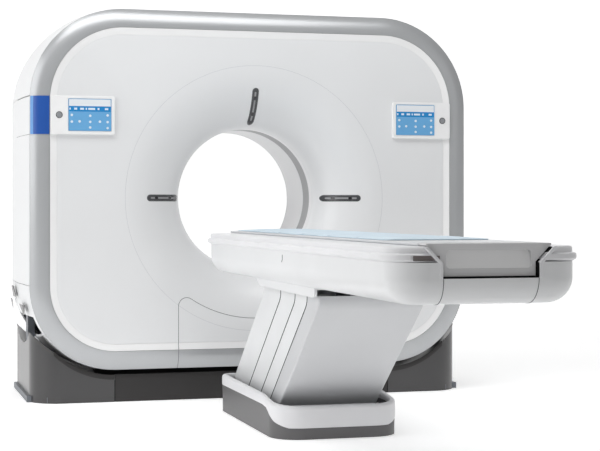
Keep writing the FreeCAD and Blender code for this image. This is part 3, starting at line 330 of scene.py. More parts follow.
def bezel_y(s, out=0.0):
    return Y0 + BEZEL_R - math.sqrt((BEZEL_R + out) ** 2 - s ** 2)


def bell(t):
    """(radius, depth) of the bell mouth, from the throat at 0 to the crease at 90 degrees."""
    a = math.radians(t)
    return FUNNEL_R - (FUNNEL_R - BORE_R) * math.cos(a), THROAT_Y - FUNNEL_DEPTH * math.sin(a)


def bell_y(r):
    k = min(1.0, max(0.0, (FUNNEL_R - r) / (FUNNEL_R - BORE_R)))
    return THROAT_Y - FUNNEL_DEPTH * math.sqrt(1 - k * k)


def ridge_offset(x, z):
    """How far a point of the front view lies outside the ridge outline."""
    x = abs(x)
    if z >= TOP_Z and x >= TOP_X:
        return math.hypot(x - TOP_X, z - TOP_Z) - TOP_R
    if z <= LOW_Z and x >= LOW_X:
        return math.hypot(x - LOW_X, z - LOW_Z) - LOW_R
    return max(x - RIDGE_W, z - RIDGE_TOP, RIDGE_FOOT - z)


def front_y(x, z):
    r, s = math.hypot(x, z - ISO_Z), ridge_offset(x, z)
    if r < FUNNEL_R:
        return bell_y(r)
    if s < -RING_W:
        return FACE_Y
    if s < 0:
        return Y0 - RING_FALL * s / RING_W
    return bezel_y(s)


# ------------------------------------------------------------ finishes
def node(tree, kind, **values):
    made = tree.nodes.new(kind)
    for key, value in values.items():
        if key in made.inputs:
            made.inputs[key].default_value = value
        else:
            setattr(made, key, value)
    return made


def finish_of(name, colour, shade_to=None, rough=0.4, metal=0.0, mottle=6.0, grain=900.0, bump=0.02,
              coat=0.0, sheen=0.0, specular=0.5):
    """A moulded or painted surface: two near tints in soft clouds, a fine grain and uneven gloss."""
    made = bpy.data.materials.new(name)
    made.use_nodes = True
    tree = made.node_tree
    link = tree.links.new
    shader = tree.nodes["Principled BSDF"]
    for socket, value in (("Metallic", metal), ("Coat Weight", coat), ("Coat Roughness", 0.12),
                          ("Sheen Weight", sheen), ("Specular IOR Level", specular)):
        shader.inputs[socket].default_value = value
    place = node(tree, "ShaderNodeTexCoord")
    turn = node(tree, "ShaderNodeMapping")
    link(place.outputs["Object"], turn.inputs["Vector"])
    clouds = node(tree, "ShaderNodeTexNoise", Scale=mottle, Detail=3.0, Roughness=0.5)
    link(turn.outputs["Vector"], clouds.inputs["Vector"])
    ramp = node(tree, "ShaderNodeValToRGB")
    dull, bright = ramp.color_ramp.elements
    dull.position, bright.position = 0.35, 0.65
    dull.color = (*(shade_to or tuple(c * 0.965 for c in colour)), 1)
    bright.color = (*colour, 1)
    link(clouds.outputs["Fac"], ramp.inputs["Fac"])
    link(ramp.outputs["Color"], shader.inputs["Base Color"])
    fine = node(tree, "ShaderNodeTexNoise", Scale=grain, Detail=2.0)
    link(turn.outputs["Vector"], fine.inputs["Vector"])
    gloss = node(tree, "ShaderNodeMapRange")
    gloss.inputs["To Min"].default_value = max(0.02, rough - 0.06)
    gloss.inputs["To Max"].default_value = rough + 0.06
    link(fine.outputs["Fac"], gloss.inputs["Value"])
    link(gloss.outputs["Result"], shader.inputs["Roughness"])
    relief = node(tree, "ShaderNodeBump", Strength=bump, Distance=0.001)
    link(fine.outputs["Fac"], relief.inputs["Height"])
    link(relief.outputs["Normal"], shader.inputs["Normal"])
    return made


FINISH = {}


def cloth_finish(name, colour, shade_to, pitch=0.0024):
    """Woven cover fabric: two crossed sets of threads as relief and colour."""
    made = finish_of(name, colour, shade_to, rough=0.8, grain=700, bump=0.1, sheen=0.25, specular=0.25)
    tree = made.node_tree
    link = tree.links.new
    shader = tree.nodes["Principled BSDF"]
    place = [n for n in tree.nodes if n.type == "MAPPING"][0]
    waves = []
    for direction in ("X", "Y"):
        wave = node(tree, "ShaderNodeTexWave", Scale=math.tau / 20 / pitch, Distortion=0.4)
        wave.bands_direction = direction
        link(place.outputs["Vector"], wave.inputs["Vector"])
        waves.append(wave)
    both = node(tree, "ShaderNodeMath", operation="MULTIPLY")
    link(waves[0].outputs["Fac"], both.inputs[0])
    link(waves[1].outputs["Fac"], both.inputs[1])
    relief = node(tree, "ShaderNodeBump", Strength=0.35, Distance=0.0006)
    link(both.outputs["Value"], relief.inputs["Height"])
    old = [n for n in tree.nodes if n.type == "BUMP" and n != relief][0]
    link(old.outputs["Normal"], relief.inputs["Normal"])
    link(relief.outputs["Normal"], shader.inputs["Normal"])
    return made


def make_finishes(look):
    paint = {"mottle": 1.2, "bump": 0.015}
    coarse = {"mottle": 3.0, "grain": 500, "bump": 0.05}
    badge = {"rough": 0.3, "mottle": 9.0, "bump": 0.01, "coat": 0.2}
    screen = {"rough": 0.14, "mottle": 9.0, "bump": 0.0, "coat": 0.4}
    metal = {"metal": 0.7, "mottle": 8.0, "grain": 300}
    rows = {
        "housing": (look.housing, dict(paint, rough=0.36, coat=0.15)),
        "shell": (look.shell, dict(paint, coat=0.1)),
        "ring": (look.ring, dict(rough=0.32, mottle=2.0, bump=0.01, coat=0.2)),
        "bezel": (look.bezel, dict(rough=0.3, metal=0.35, mottle=3.0, coat=0.3)),
        "bore": (look.bore, dict(rough=0.35, mottle=2.0, bump=0.01)),
        "window": (look.window, dict(rough=0.42, mottle=8.0)),
        "glass": (look.glass, dict(rough=0.16, mottle=20.0, bump=0.0, coat=0.5)),
        "lens": (srgb(30, 30, 34), dict(rough=0.1, mottle=30.0, bump=0.0, coat=0.6)),
        "strip": (srgb(150, 150, 152), dict(rough=0.25, mottle=20.0, bump=0.01)),
        "base": (look.base, dict(coarse, rough=0.36, coat=0.35)),
        # the strips are dark plastic like the pedestals, coloured darker still for the shade under the
        # housing: painted shade
        "base_mid_shaded": (srgb(44, 42, 42), dict(coarse, rough=0.5)),
        # darker copy of the pedestals' colour for the bands under the housing's edge: painted shade
        "base_band_shaded": (srgb(40, 38, 38), dict(coarse, rough=0.5)),
        "seam": (srgb(96, 97, 100), dict(rough=0.7, mottle=30.0, specular=0.2)),
        # light grey line along the bell mouth's crease: painted shade
        "crease": (srgb(204, 206, 210), dict(rough=0.5, mottle=20.0, bump=0.01)),
        # near black: on the sheets under the housing and in the handle's slot it is painted shade, on the
        # joint lines it is their dark colour
        "gap": (srgb(26, 26, 28), dict(rough=0.8, mottle=30.0, specular=0.1)),
        "badge": (look.badge, badge),
        "badge_light": (srgb(92, 150, 214), badge),
        "panel": (look.ring, dict(rough=0.3, bump=0.01, coat=0.25)),
        "screen": (look.screen, screen),
        "screen_bar": (srgb(40, 140, 208), screen),
        "screen_head": (srgb(240, 244, 248), screen),
        "icon": (srgb(226, 240, 250), dict(screen, rough=0.16, mottle=20.0)),
        "button": (srgb(150, 152, 155), dict(rough=0.35, mottle=20.0)),
        "button_ring": (srgb(70, 71, 74), dict(mottle=20.0)),
        "steel": (srgb(120, 124, 130), dict(metal, rough=0.45, bump=0.06)),
        "alloy": (srgb(168, 172, 176), dict(metal, rough=0.38, bump=0.05)),
        "set": (srgb(150, 154, 160), dict(metal, rough=0.45, metal=0.3, mottle=6.0, bump=0.05)),
        "motor": (srgb(50, 52, 58), dict(metal, rough=0.5, metal=0.3, bump=0.08)),
        "rubber": (srgb(28, 28, 30), dict(rough=0.75, mottle=20.0, grain=400, bump=0.2)),
        "tray": (look.tray, dict(mottle=5.0)),
        "skirt": (look.skirt, dict(rough=0.45, mottle=4.0, grain=500, bump=0.04)),
        "column": (look.column, dict(mottle=4.0, bump=0.015, coat=0.1)),
        # darker copy of the column colour, for the foot-most slab whose foot side lies in shade: painted
        # shade
        "column_end": (look.column_end, dict(rough=0.38, mottle=3.0, coat=0.1)),
        "table": (look.table, dict(rough=0.36, mottle=2.0, bump=0.015, coat=0.15)),
        "rim": (look.rim, dict(rough=0.38, mottle=3.0, bump=0.015, coat=0.1)),
        "cradle": (look.cradle, dict(rough=0.42, mottle=3.0, bump=0.03)),
        "handle": (look.handle, dict(mottle=3.0, coat=0.1)),
        # dark colour of the plate in the rim's pocket: painted shade
        "pocket_shade": (srgb(120, 112, 110), dict(rough=0.5, mottle=9.0)),
        "mat_thread": (tuple(c * 0.7 for c in look.mat), dict(rough=0.8, mottle=40.0, grain=1200, bump=0.1)),
        "floor": (look.floor, dict(rough=0.7, mottle=0.4, grain=60, bump=0.0, specular=0.1)),
    }
    for name, (colour, options) in rows.items():
        FINISH[name] = finish_of(name, colour, **options)
    FINISH["mat"] = cloth_finish("mat", look.mat, tuple(c * 0.93 for c in look.mat))


# ------------------------------------------------------------ settings
def colour_setting(label, text, value):
    return FloatVectorProperty(name=label, description=text, subtype="COLOR", size=3, min=0, max=1,
                               default=value)


class ScannerLook(bpy.types.PropertyGroup):
    housing: colour_setting("Housing", "Front and rear covers", srgb(236, 237, 238))
    shell: colour_setting("Shells", "Side, top and lower shells", srgb(232, 233, 234))
    ring: colour_setting("Ring", "White ring round the face", srgb(250, 250, 250))
    bezel: colour_setting("Bezel", "Silver bezel", srgb(186, 188, 190))
    bore: colour_setting("Bore", "Inside of the bore", srgb(236, 236, 237))
    window: colour_setting("Scan window", "Band that the rays pass through", srgb(158, 158, 160))
    glass: colour_setting("Laser windows", "Glass over the positioning lasers", srgb(70, 71, 73))
    base: colour_setting("Pedestals", "Dark pedestal covers", srgb(62, 61, 62))
    badge: colour_setting("Badge", "Bare colour plate", srgb(30, 84, 168))
    screen: colour_setting("Screens", "Field of the touch screens", srgb(110, 176, 226))
    tray: colour_setting("Tray", "Tray round the column", srgb(232, 232, 234))
    skirt: colour_setting("Skirt", "Dark skirt of the table base", srgb(98, 97, 98))
    column: colour_setting("Column", "Sides of the lifting column", srgb(234, 235, 236))
    # darker copy of the column colour for the foot-most slab: painted shade
    column_end: colour_setting("Column ends", "Foot side of the column", srgb(210, 211, 213))
    table: colour_setting("Table", "Table hull", srgb(234, 235, 236))
    rim: colour_setting("Rim", "Rim of the table top", srgb(236, 236, 238))
    cradle: colour_setting("Cradle", "Sliding cradle", srgb(222, 224, 226))
    handle: colour_setting("Handle", "Pull handle of the cradle", srgb(222, 222, 223))
    mat: colour_setting("Mat", "Light blue mat", srgb(218, 236, 248))
    floor: colour_setting("Floor", "Studio floor", srgb(250, 250, 250))


class ScannerSizes(bpy.types.PropertyGroup):
    edge: FloatProperty(name="Edge radius", description="Rounding of the mouldings' edges in millimetres",
                        default=1.6, min=0.2, max=6)
    seam: FloatProperty(name="Seam radius", description="Half width of the seam lines in millimetres",
                        default=1.3, min=0.4, max=4)
    turn_steps: IntProperty(name="Turn steps", description="Steps of a full turn", default=144, min=32,
                            max=360)
    corner_steps: IntProperty(name="Corner steps", description="Steps of a rounded corner", default=24, min=6,
                              max=64)
    key_power: FloatProperty(name="Key light", description="Power of the large soft light", default=155,
                             unit="POWER")
    floor_glow: FloatProperty(name="Floor glow", description="Light that the white floor gives off by itself",
                              default=0.42, min=0)
    sky: FloatProperty(name="Sky", description="Strength of the even light from all round", default=0.28,
                       min=0)


def look():
    return bpy.context.scene.scanner_look


def sizes():
    return bpy.context.scene.scanner_sizes


# ------------------------------------------------------------ gantry housing
def face_mesh(bm):
    """Bell mouth and flat face in one skin, joined along the crease."""
    def outside(v):
        return math.hypot(v.co.x, v.co.z - ISO_Z / 1000) - FUNNEL_R / 1000

    steps, corner = sizes().turn_steps, sizes().corner_steps
    turn_ring(bm, [bell(90 * k / 22) for k in range(23)], closed=False, steps=steps)
    crease = [e for e in bm.edges if e.is_boundary and all(abs(outside(v)) < 1e-5 for v in e.verts)]
    before = set(bm.edges)
    sweep_round(bm, [(-RING_W, FACE_Y), (-RING_W, FACE_Y + WALL)], HOUSING, closed=False, steps=corner)
    rim = [e for e in bm.edges if e not in before and e.is_boundary
           and all(abs(v.co.y - FACE_Y / 1000) < 1e-6 and outside(v) > 0.01 for v in e.verts)]
    bmesh.ops.triangle_fill(bm, edges=crease + rim, use_beauty=True, normal=(0, -1, 0))


RING_PROFILE = [(-1.5, 0.2), (-4, 1), (-34, 6.6), (-36, 8), (-36, 18), (-1.5, 11)]


def bezel_profile():
    outer = [(BEZEL_W * k / 10, bezel_y(BEZEL_W * k / 10)) for k in range(11)]
    return outer + [(94, -448), (91, -445), (91, BACK), (83, BACK), (83, -446), (47, -465), (0, -473)]


DOOR_X, DOOR_Y, DOOR_Z = 1065, 385, 425  # doors of the lower shell over the posts
BEYOND = 1400                            # further out than anything
PANEL_SEAM = (403.0, 609.0, 42.0)  # half width, radius of the arc and of the corners


def bulge(y):
    """How far the shells stand outside the ridge at a depth."""
    return BEZEL_W + BULGE * (1 - (y / BACK) ** 2)


def flip_back(bm):
    bmesh.ops.scale(bm, verts=bm.verts, vec=(1, -1, 1))
    bmesh.ops.reverse_faces(bm, faces=bm.faces)


def build_housing():
    corner, turn, edge = sizes().corner_steps, sizes().turn_steps, sizes().edge
    for end in ("front", "rear"):
        front = end == "front"
        bm = filled(face_mesh)
        if not front:
            flip_back(bm)
        stands = ["front_cover", "front_service_panel"] if front else ["rear_cover"]
        piece(end + "_face", bm, "gantry", "housing", stands, sharp=14,
              towards=(0, -1, 0) if front else (0, 1, 0), wall=6)
        for part, profile, slot in (("ring", [(s, Y0 + y) for s, y in RING_PROFILE], "ring_white"),
                                    ("bezel", bezel_profile(), "bezel_silver")):
            bm = filled(sweep_round, profile, HOUSING, steps=corner)
            if not front:
                flip_back(bm)
            piece("%s_%s_piece" % (end, part), bm, "gantry", part, ["%s_%s" % (end, part)], sharp=28)
    # shells with a swell between the bezels
    outer = [(bulge(y), y) for y in (BACK * (1 - k / 10) for k in range(21))]
    inner = [(s - WALL, y) for s, y in outer[::-1]]
    between_seams = ((0, 0, SEAM_UP - 1), (0, 0, 1)), ((0, 0, SEAM_DOWN + 1), (0, 0, -1))
    cuts = {
        "top_shell": [((0, 0, SEAM_UP + 1), (0, 0, -1))],
        "lower_shell": [((0, 0, SEAM_DOWN - 1), (0, 0, 1))],
        "side_shell_left": [*between_seams, ((0, 0, 0), (1, 0, 0))],
        "side_shell_right": [*between_seams, ((0, 0, 0), (-1, 0, 0))],
    }
    for name, planes in cuts.items():
        bm = filled(sweep_round, outer + inner, HOUSING, steps=corner)
        for point, normal in planes:
            keep_side(bm, at(*point), Vector(normal))
        if name == "lower_shell":
            bmesh.ops.recalc_face_normals(bm, faces=bm.faces)
            shell = to_object(name + "_whole", bm)
            bm = carve(shell,
                       [solid("door", block, *sorted((s * DOOR_X, s * BEYOND)), -DOOR_Y, DOOR_Y, 0, DOOR_Z)
                               for s in (-1, 1)])
        piece(name + "_piece", bm, "gantry", "shell", [name], sharp=24, edge=edge)
    # bore in three bands
    y1, y2, y3 = THROAT_Y, THROAT_Y + STRIP_W, THROAT_Y + STRIP_W + WINDOW_W
    for name, a, b, r, finish, slot in (
            ("bore_front_ring", y1, y2, 0.0, "bore", "housing_white"),
            ("bore_window_ring", y2, y3, 0.6, "window", "window_grey"),
            ("bore_rear_ring", y3, -THROAT_Y, 0.0, "bore", "housing_white")):
        c, inside, outside = 0.8, BORE_R + r, BORE_R + WALL
        bm = filled(turn_ring, [(inside + c, a), (inside, a + c), (inside, b - c), (inside + c, b),
                                (outside, b), (outside, a)], steps=turn)
        piece(name + "_piece", bm, "gantry", finish, [name], sharp=28)
    # seams: service panel, shells, crease of the bell mouth
    seam = sizes().seam
    for s, side in ((-1, "left"), (1, "right")):
        for height, tag, reach in ((1514.0, "high", 100.0), (1326.0, "mid", 60.0)):
            path = [(s * (RIDGE_W + bulge(y) + 0.2), y, height)
                    for y in (BACK + (BACK + reach) * -k / 16 for k in range(17))]
            if height > TOP_Z:
                lift = height - TOP_Z
            path = [(s * (TOP_X + math.sqrt((abs(x) - TOP_X) ** 2 - lift ** 2)), y, z) for x, y, z in path]
            groove("shell_seam_%s_%s" % (tag, side), path, 0.8 * seam, "gantry", "seam")
    # grey line round the bell mouth's crease: painted shade
    circle = [(FUNNEL_R * math.sin(a), FACE_Y + 0.3, ISO_Z + FUNNEL_R * math.cos(a))
              for a in (math.tau * k / 96 for k in range(96))]
    groove("bell_crease_shade", circle, 0.9, "gantry", "crease", closed=True)
    x, r, c = PANEL_SEAM
    # the corner touches the panel's side and its arc
    cx = x - c
    cz = ISO_Z - math.sqrt((r + c) ** 2 - cx ** 2)
    a0 = math.atan2(ISO_Z - cz, -cx)
    path = [(x, 162.0 + (cz - 162.0) * k / 60) for k in range(61)]
    path += [(cx + c * math.cos(a0 * k / 14), cz + c * math.sin(a0 * k / 14)) for k in range(1, 15)]
    t0 = math.atan2(path[-1][0], ISO_Z - path[-1][1])
    path += [(r * math.sin(t0 * (1 - k / 24)), ISO_Z - r * math.cos(t0 * (1 - k / 24))) for k in range(1, 25)]
    path += [(-px, pz) for px, pz in path[-2::-1]]
    groove("service_panel_seam", [(px, front_y(px, pz) + 0.25 * seam, pz) for px, pz in path], seam, "gantry",
           "seam")


class SCANNER_OT_housing(bpy.types.Operator):
    """Covers, rings, bezels, shells and bore of the gantry"""
    bl_idname = "scanner.housing"
    bl_label = "Gantry housing"

    def execute(self, context):
        build_housing()
        return {"FINISHED"}


def build_badge():
    for name, a, b, out, finish, stands in (
            ("badge_blue_plate", 2, 91, 2.5, "badge", ["badge_plate"]),
            ("badge_edge_strip", 78, 91.6, 3.0, "badge_light", [])):
        front = [(s, bezel_y(s, out)) for s in (a + (b - a) * k / 10 for k in range(11))]
        rear = [(s, bezel_y(s) + 0.4) for s, _ in front[::-1]]
        bm = filled(sweep_round, front + rear, HOUSING, steps=sizes().corner_steps)
        keep_side(bm, at(0, 0, PANEL_TOP - 1), Vector((0, 0, 1)))
        keep_side(bm, at(0, 0, PANEL_LOW), Vector((0, 0, -1)))
        keep_side(bm, at(0, 0, 0), Vector((1, 0, 0)))
        piece(name, bm, "gantry", finish, stands, sharp=28)


class SCANNER_OT_badge(bpy.types.Operator):
    """Bare colour plate on the left bezel"""
    bl_idname = "scanner.badge"
    bl_label = "Badge plate"

    def execute(self, context):
        build_badge()
        return {"FINISHED"}


def stadium(bm, half, r1, r2, lift, angle, rows=40):
    """Long rounded window set on the bell mouth along a radius."""
    grid = bmesh.ops.create_grid(bm, x_segments=9, y_segments=rows, size=1.0)["verts"]
    mid, reach = (r1 + r2) / 2, (r2 - r1) / 2
    turn = Matrix.Rotation(math.radians(angle), 3, "Y")
    for v in grid:
        u, w = v.co.x, math.sin(v.co.y * math.pi / 2)
        d = abs(w) * reach - (reach - half)
        wide = half if d <= 0 else math.sqrt(max(half ** 2 - d ** 2, 0.0))
        x, r = u * wide, mid + w * reach
        y = bell_y(math.hypot(x, r)) - lift
        v.co = turn @ at(x, y, r) + at(0, 0, ISO_Z)
    bmesh.ops.remove_doubles(bm, verts=bm.verts, dist=1e-5)


def build_laser_windows():
    for name, angle in (("top", 0), ("right", 90), ("left", -90)):
        for part, half, r1, r2, lift, finish in (
                ("frame", 17.0, 378, 560, 0.7, "seam"),
                ("glass", 14.0, 381, 557, 1.2, "glass"),
                ("strip", 4.5, 398, 540, 1.7, "strip")):
            bm = filled(stadium, half, r1, r2, lift, angle)
            stands = ["laser_window_" + name] if part == "frame" else []
            piece("laser_%s_%s" % (part, name), bm, "gantry", finish, stands, sharp=50,
                  towards=(0, -1, 0), wall=3)
        for k, r in enumerate((430, 508)):
            bm = filled(stadium, 7.0, r - 9, r + 9, 2.4, angle, rows=12)
            piece("laser_lens_%s_%d" % (name, k), bm, "gantry", "lens", sharp=50,
                  towards=(0, -1, 0), wall=2)


class SCANNER_OT_laser_windows(bpy.types.Operator):
    """Dark windows of the positioning lasers"""
    bl_idname = "scanner.laser_windows"
    bl_label = "Laser windows"

    def execute(self, context):
        build_laser_windows()
        return {"FINISHED"}


# places on the screen, as shares of its width and height from the top left
SYMBOLS = [(0.076, 0.51), (0.505, 0.53), (0.914, 0.51), (0.076, 0.72), (0.257, 0.71),
           (0.505, 0.72), (0.733, 0.71), (0.914, 0.72), (0.505, 0.895), (0.914, 0.91)]
DASHES = [(0.02, 0.05), (0.13, 0.20), (0.27, 0.36), (0.40, 0.43), (0.46, 0.62), (0.68, 0.72), (0.85, 0.93)]


def build_operator_panels():
    front = Y0 - 10
    for s, side in ((-1, "left"), (1, "right")):
        button = at(s * BUTTON_X, front, BUTTON_Z)
        bm = filled(block, *sorted((s * PANEL_X1, s * PANEL_X2)), front, FACE_Y + 3, PANEL_LOW, PANEL_TOP)
        soften(bm, edges_along(bm, 1), 10, 6)
        shade(bm, 30)
        bm = carve(to_object("panel_whole", bm), [
            solid("recess", block, *sorted((s * (SCREEN_X1 - 1), s * (SCREEN_X2 + 1))), front - 5, front + 5,
                  PANEL_LOW + 17, PANEL_TOP - 13),
            solid("bore", disc, button, 13.5, 13.5, 30, 48),
        ])
        piece("operator_panel_" + side, bm, "gantry", "panel", ["control_panel_" + side],
              sharp=30, edge=1.4)
        # screen: header, bar and field with plain round symbols
        x1, x2 = sorted((s * SCREEN_X1, s * SCREEN_X2))
        z1, z2 = PANEL_LOW + 18, PANEL_TOP - 14
        wide_x, high_z = x2 - x1, z2 - z1
        for name, top, low, lift, inset, corner, finish, stands in (
                ("field", 0.0, 1.0, 0.0, 0.0, 2.0, "screen", ["display_" + side]),
                ("header", 0.015, 0.23, 0.35, 2.5, 0.8, "screen_head", []),
                ("bar", 0.23, 0.40, 0.35, 2.5, 0.8, "screen_bar", [])):
            bm = filled(block, x1 + inset, x2 - inset, front - 1.5 - lift, front + 4 - lift,
                        z2 - low * high_z, z2 - top * high_z)
            soften(bm, edges_along(bm, 1), corner, 3)
            piece("screen_%s_%s" % (name, side), bm, "gantry", finish, stands, sharp=30)
        bm = bmesh.new()
        for u, v in SYMBOLS:
            disc(bm, at(x1 + u * wide_x, front - 1.9, z2 - v * high_z), 6.2, 6.2, 1.2, 24)
        for u1, u2 in DASHES:
            block(bm, x1 + u1 * wide_x, x1 + u2 * wide_x, front - 2.5, front - 1.4,
                  z2 - 0.345 * high_z, z2 - 0.285 * high_z)
        piece("screen_symbols_" + side, bm, "gantry", "icon", sharp=30)
        # button and its surround
        bm = filled(disc, button + at(0, 2, 0), 11.5, 13, 10, 48)
        soften(bm, [e for e in bm.edges if len(e.link_faces) == 2 and e.calc_face_angle(0) > 0.8], 0.8, 3)
        piece("push_button_" + side, bm, "button_" + side, "button", ["button_" + side],
              sharp=30)
        ring = [button + at(q, y, 0)
                for q, y in ((13.4, 2), (13.4, -1.2), (14.2, -1.8), (16.4, -1.2), (17, 2))]
        piece("button_surround_" + side, filled(full_turn, ring, True, button, (0, 1, 0), 48), "gantry",
              "button_ring", sharp=40)


class SCANNER_OT_operator_panels(bpy.types.Operator):
    """Operator panels with their screens and buttons"""
    bl_idname = "scanner.operator_panels"
    bl_label = "Operator panels"

    def execute(self, context):
        build_operator_panels()
        return {"FINISHED"}


# ------------------------------------------------------------ pedestals
SEAT_GAP = 18.0                  # black gap between the pedestals and the housing
BEZEL_BACK = -Y0 - BEZEL_DROP    # half depth of the housing at the bezel's outer edge
PEDESTAL_Y = 435.0
TROUGH_R = 976.0                 # black sheet between the base strips, round the tilt axis: painted shade under the housing


def low_edge(x):
    """Height of the bezel's lower edge, seen from the front."""
    return LOW_Z - math.sqrt(max((LOW_R + BEZEL_W) ** 2 - (x - LOW_X) ** 2, 0.0))


def housing_sweep(bm):
    """Solid of revolution that the tilting housing stays inside with a gap, right-hand half."""
    x_end, spare = RIDGE_W + BEZEL_W, SEAT_GAP - 6
    pts = []
    for k in range(25):
        x = LOW_X + (x_end - LOW_X) * math.sin(math.radians(90 * k / 24))
        pts.append((x + spare * ((x - LOW_X) / (x_end - LOW_X)) ** 2,
                    math.hypot(ISO_Z - low_edge(x), BEZEL_BACK) + SEAT_GAP))
    for k in range(1, 13):
        y = BACK * math.cos(math.radians(7.5 * k))
        pts.append((x_end + spare + BULGE * (1 - (y / BACK) ** 2), math.hypot(ISO_Z - LOW_Z, y) + SEAT_GAP))
    pts = [(300, 0.0), (300, pts[0][1])] + pts + [(pts[-1][0], 0.0)]
    full_turn(bm, [at(x, 0, ISO_Z + r) for x, r in pts], False, at(0, 0, ISO_Z), (1, 0, 0), 160)


def arc(first, middle, last, steps):
    """Points on the circle through three, without the first."""
    a, b, c = (complex(*p) for p in (first, middle, last))
    w = (c - a) / (b - a)
    centre = a + (b - a) * (w - abs(w) ** 2) / (2j * w.imag)
    turn = cmath.phase((c - centre) / (a - centre)) / steps
    points = [centre + (a - centre) * cmath.rect(1, turn * k) for k in range(1, steps + 1)]
    return [(p.real, p.imag) for p in points]


def hump_cutter(bm):
    """Everything above the pedestal's side view: low shoulders and a hump over the post."""
    left = [(-600, 482), (-190, 482)] + arc((-190, 482), (-92, 504), (-40, 561), 10)
    top = arc((-40, 561), (0, 566), (40, 561), 8)
    right = [(-y, z) for y, z in left[::-1]]
    prism(bm, [at(0, y, z) for y, z in left + top[:-1] + right + [(600, 900), (-600, 900)]], at(BEYOND, 0, 0))


def seat_z(x):
    """Height of the pedestals' front edge, which follows the tilting housing."""
    return ISO_Z - math.sqrt((math.hypot(ISO_Z - low_edge(x), BEZEL_BACK) + SEAT_GAP) ** 2 - PEDESTAL_Y ** 2)


SEAT_X = [718 + 302 * math.sin(math.radians(90 * k / 20)) for k in range(21)]


def build_pedestals():
    for s, side in ((1, "right"), (-1, "left")):
        outline = [(717, 0), (1126, 0), (1126, 330), (1187, 588), (717, 588)]
        bm = filled(prism, [at(x, -PEDESTAL_Y, z) for x, z in outline], at(0, 2 * PEDESTAL_Y, 0))
        bmesh.ops.recalc_face_normals(bm, faces=bm.faces)
        outer = [e for e in bm.edges if min(v.co.x for v in e.verts) > 1.0]
        runs = [(e, e.verts[1].co - e.verts[0].co) for e in outer]
        soften(bm, [e for e, run in runs if abs(run.y) < 1e-6 and abs(run.z) > 1e-4], 150, 20)
        body = to_object("pedestal_whole", bm)
        bm = carve(body, [solid("sweep", housing_sweep), solid("hump", hump_cutter)])
        if s < 0:
            bmesh.ops.scale(bm, verts=bm.verts, vec=(-1, 1, 1))
            bmesh.ops.reverse_faces(bm, faces=bm.faces)
        piece("pedestal_" + side, bm, "base", "base", ["pedestal_cover_" + side], sharp=30,
              edge=5.0)
    for s, side in ((-1, "front"), (1, "rear")):
        # strips take the darker copy of the pedestals' colour: dark plastic plus painted shade
        strip = ((PEDESTAL_Y, 0), (PEDESTAL_Y, 110), (430, 136), (417, 136), (417, 0))
        bm = filled(prism, [at(-LOW_X, s * y, z) for y, z in strip], at(2 * LOW_X, 0, 0))
        piece("base_strip_" + side, bm, "base", "base_mid_shaded", ["base_%s_cover" % side], sharp=30,
              edge=3.0)
        for end, mark in ((-1, "left"), (1, "right")):
            # dark band along the seat under the housing's edge: painted shade
            bm = bmesh.new()
            seat = [seat_z(x) for x in SEAT_X]
            verts, edges = chain(bm, [at(end * x, s * 436.0, z) for x, z in zip(SEAT_X, seat)], False)
            low, _ = grow(bm, edges, Vector())
            for v, z in zip(sorted(low, key=lambda v: abs(v.co.x)), seat):
                v.co.z = (z - 24) * 0.001
            piece("seat_band_shade_%s_%s" % (side, mark), bm, "base", "base_band_shaded", sharp=40,
                  towards=(0, s, 0), wall=3)
            groove("base_joint_%s_%s" % (side, mark), [(end * 716.5, s * 435.4, z) for z in (4, 108)], 1.6,
                   "base", "gap")
    # black sheet under the housing between the strips, standing in for its shade: painted shade
    bm = bmesh.new()
    turns = [math.radians(a) for a in range(-25, 26, 2)]
    trough = [(TROUGH_R * math.sin(a), ISO_Z - TROUGH_R * math.cos(a)) for a in turns]
    verts, edges = chain(bm, [at(-714, y, z) for y, z in trough], False)
    grow(bm, edges, at(1428, 0, 0))
    piece("base_trough_shade", bm, "base", "gap", sharp=40, towards=(0, 0, 1), wall=4)


class SCANNER_OT_pedestals(bpy.types.Operator):
    """Dark pedestal covers and the low covers between them"""
    bl_idname = "scanner.pedestals"
    bl_label = "Pedestals"

    def execute(self, context):
        build_pedestals()
        return {"FINISHED"}


def build_inner_works():
    finishes = {
        "steel": ("gantry_floor_frame", "upright_left", "upright_right", "tilt_frame", "stator_ring",
                  "table_floor_frame"),
        "set": ("rotor_drum", "slip_ring", "detector_arc", "hv_generator", "heat_exchanger"),
        "motor": ("xray_tube", "drive_motor"),
        "rubber": ("drive_belt",),
        "alloy": ("motor_pulley", "lift_arm_a", "lift_arm_c", "table_frame"),
    }
    for finish, names in finishes.items():
        for name in names:
            carried(name, finish)


class SCANNER_OT_inner_works(bpy.types.Operator):
    """Finishes of the carried-over frame, scan set and lifting arms"""
    bl_idname = "scanner.inner_works"
    bl_label = "Inner works"

    def execute(self, context):
        build_inner_works()
        return {"FINISHED"}


# ------------------------------------------------------------ table base and column
def between(table, y):
    """Height on a broken line of (y, z) points."""
    for (y1, z1), (y2, z2) in zip(table, table[1:]):
        if y <= y2:
            return z1 + (z2 - z1) * max(0.0, y - y1) / (y2 - y1)
    return table[-1][1]


# height along y of the joint between skirt and tray, and of the tray's top
JOIN = [(-1915, 48), (-1885, 48), (-1830, 70), (-1755, 118), (-1675, 126), (-850, 126)]
TRAY_TOP = [(-1915, 136), (-1865, 141), (-1645, 167), (-852, 175)]


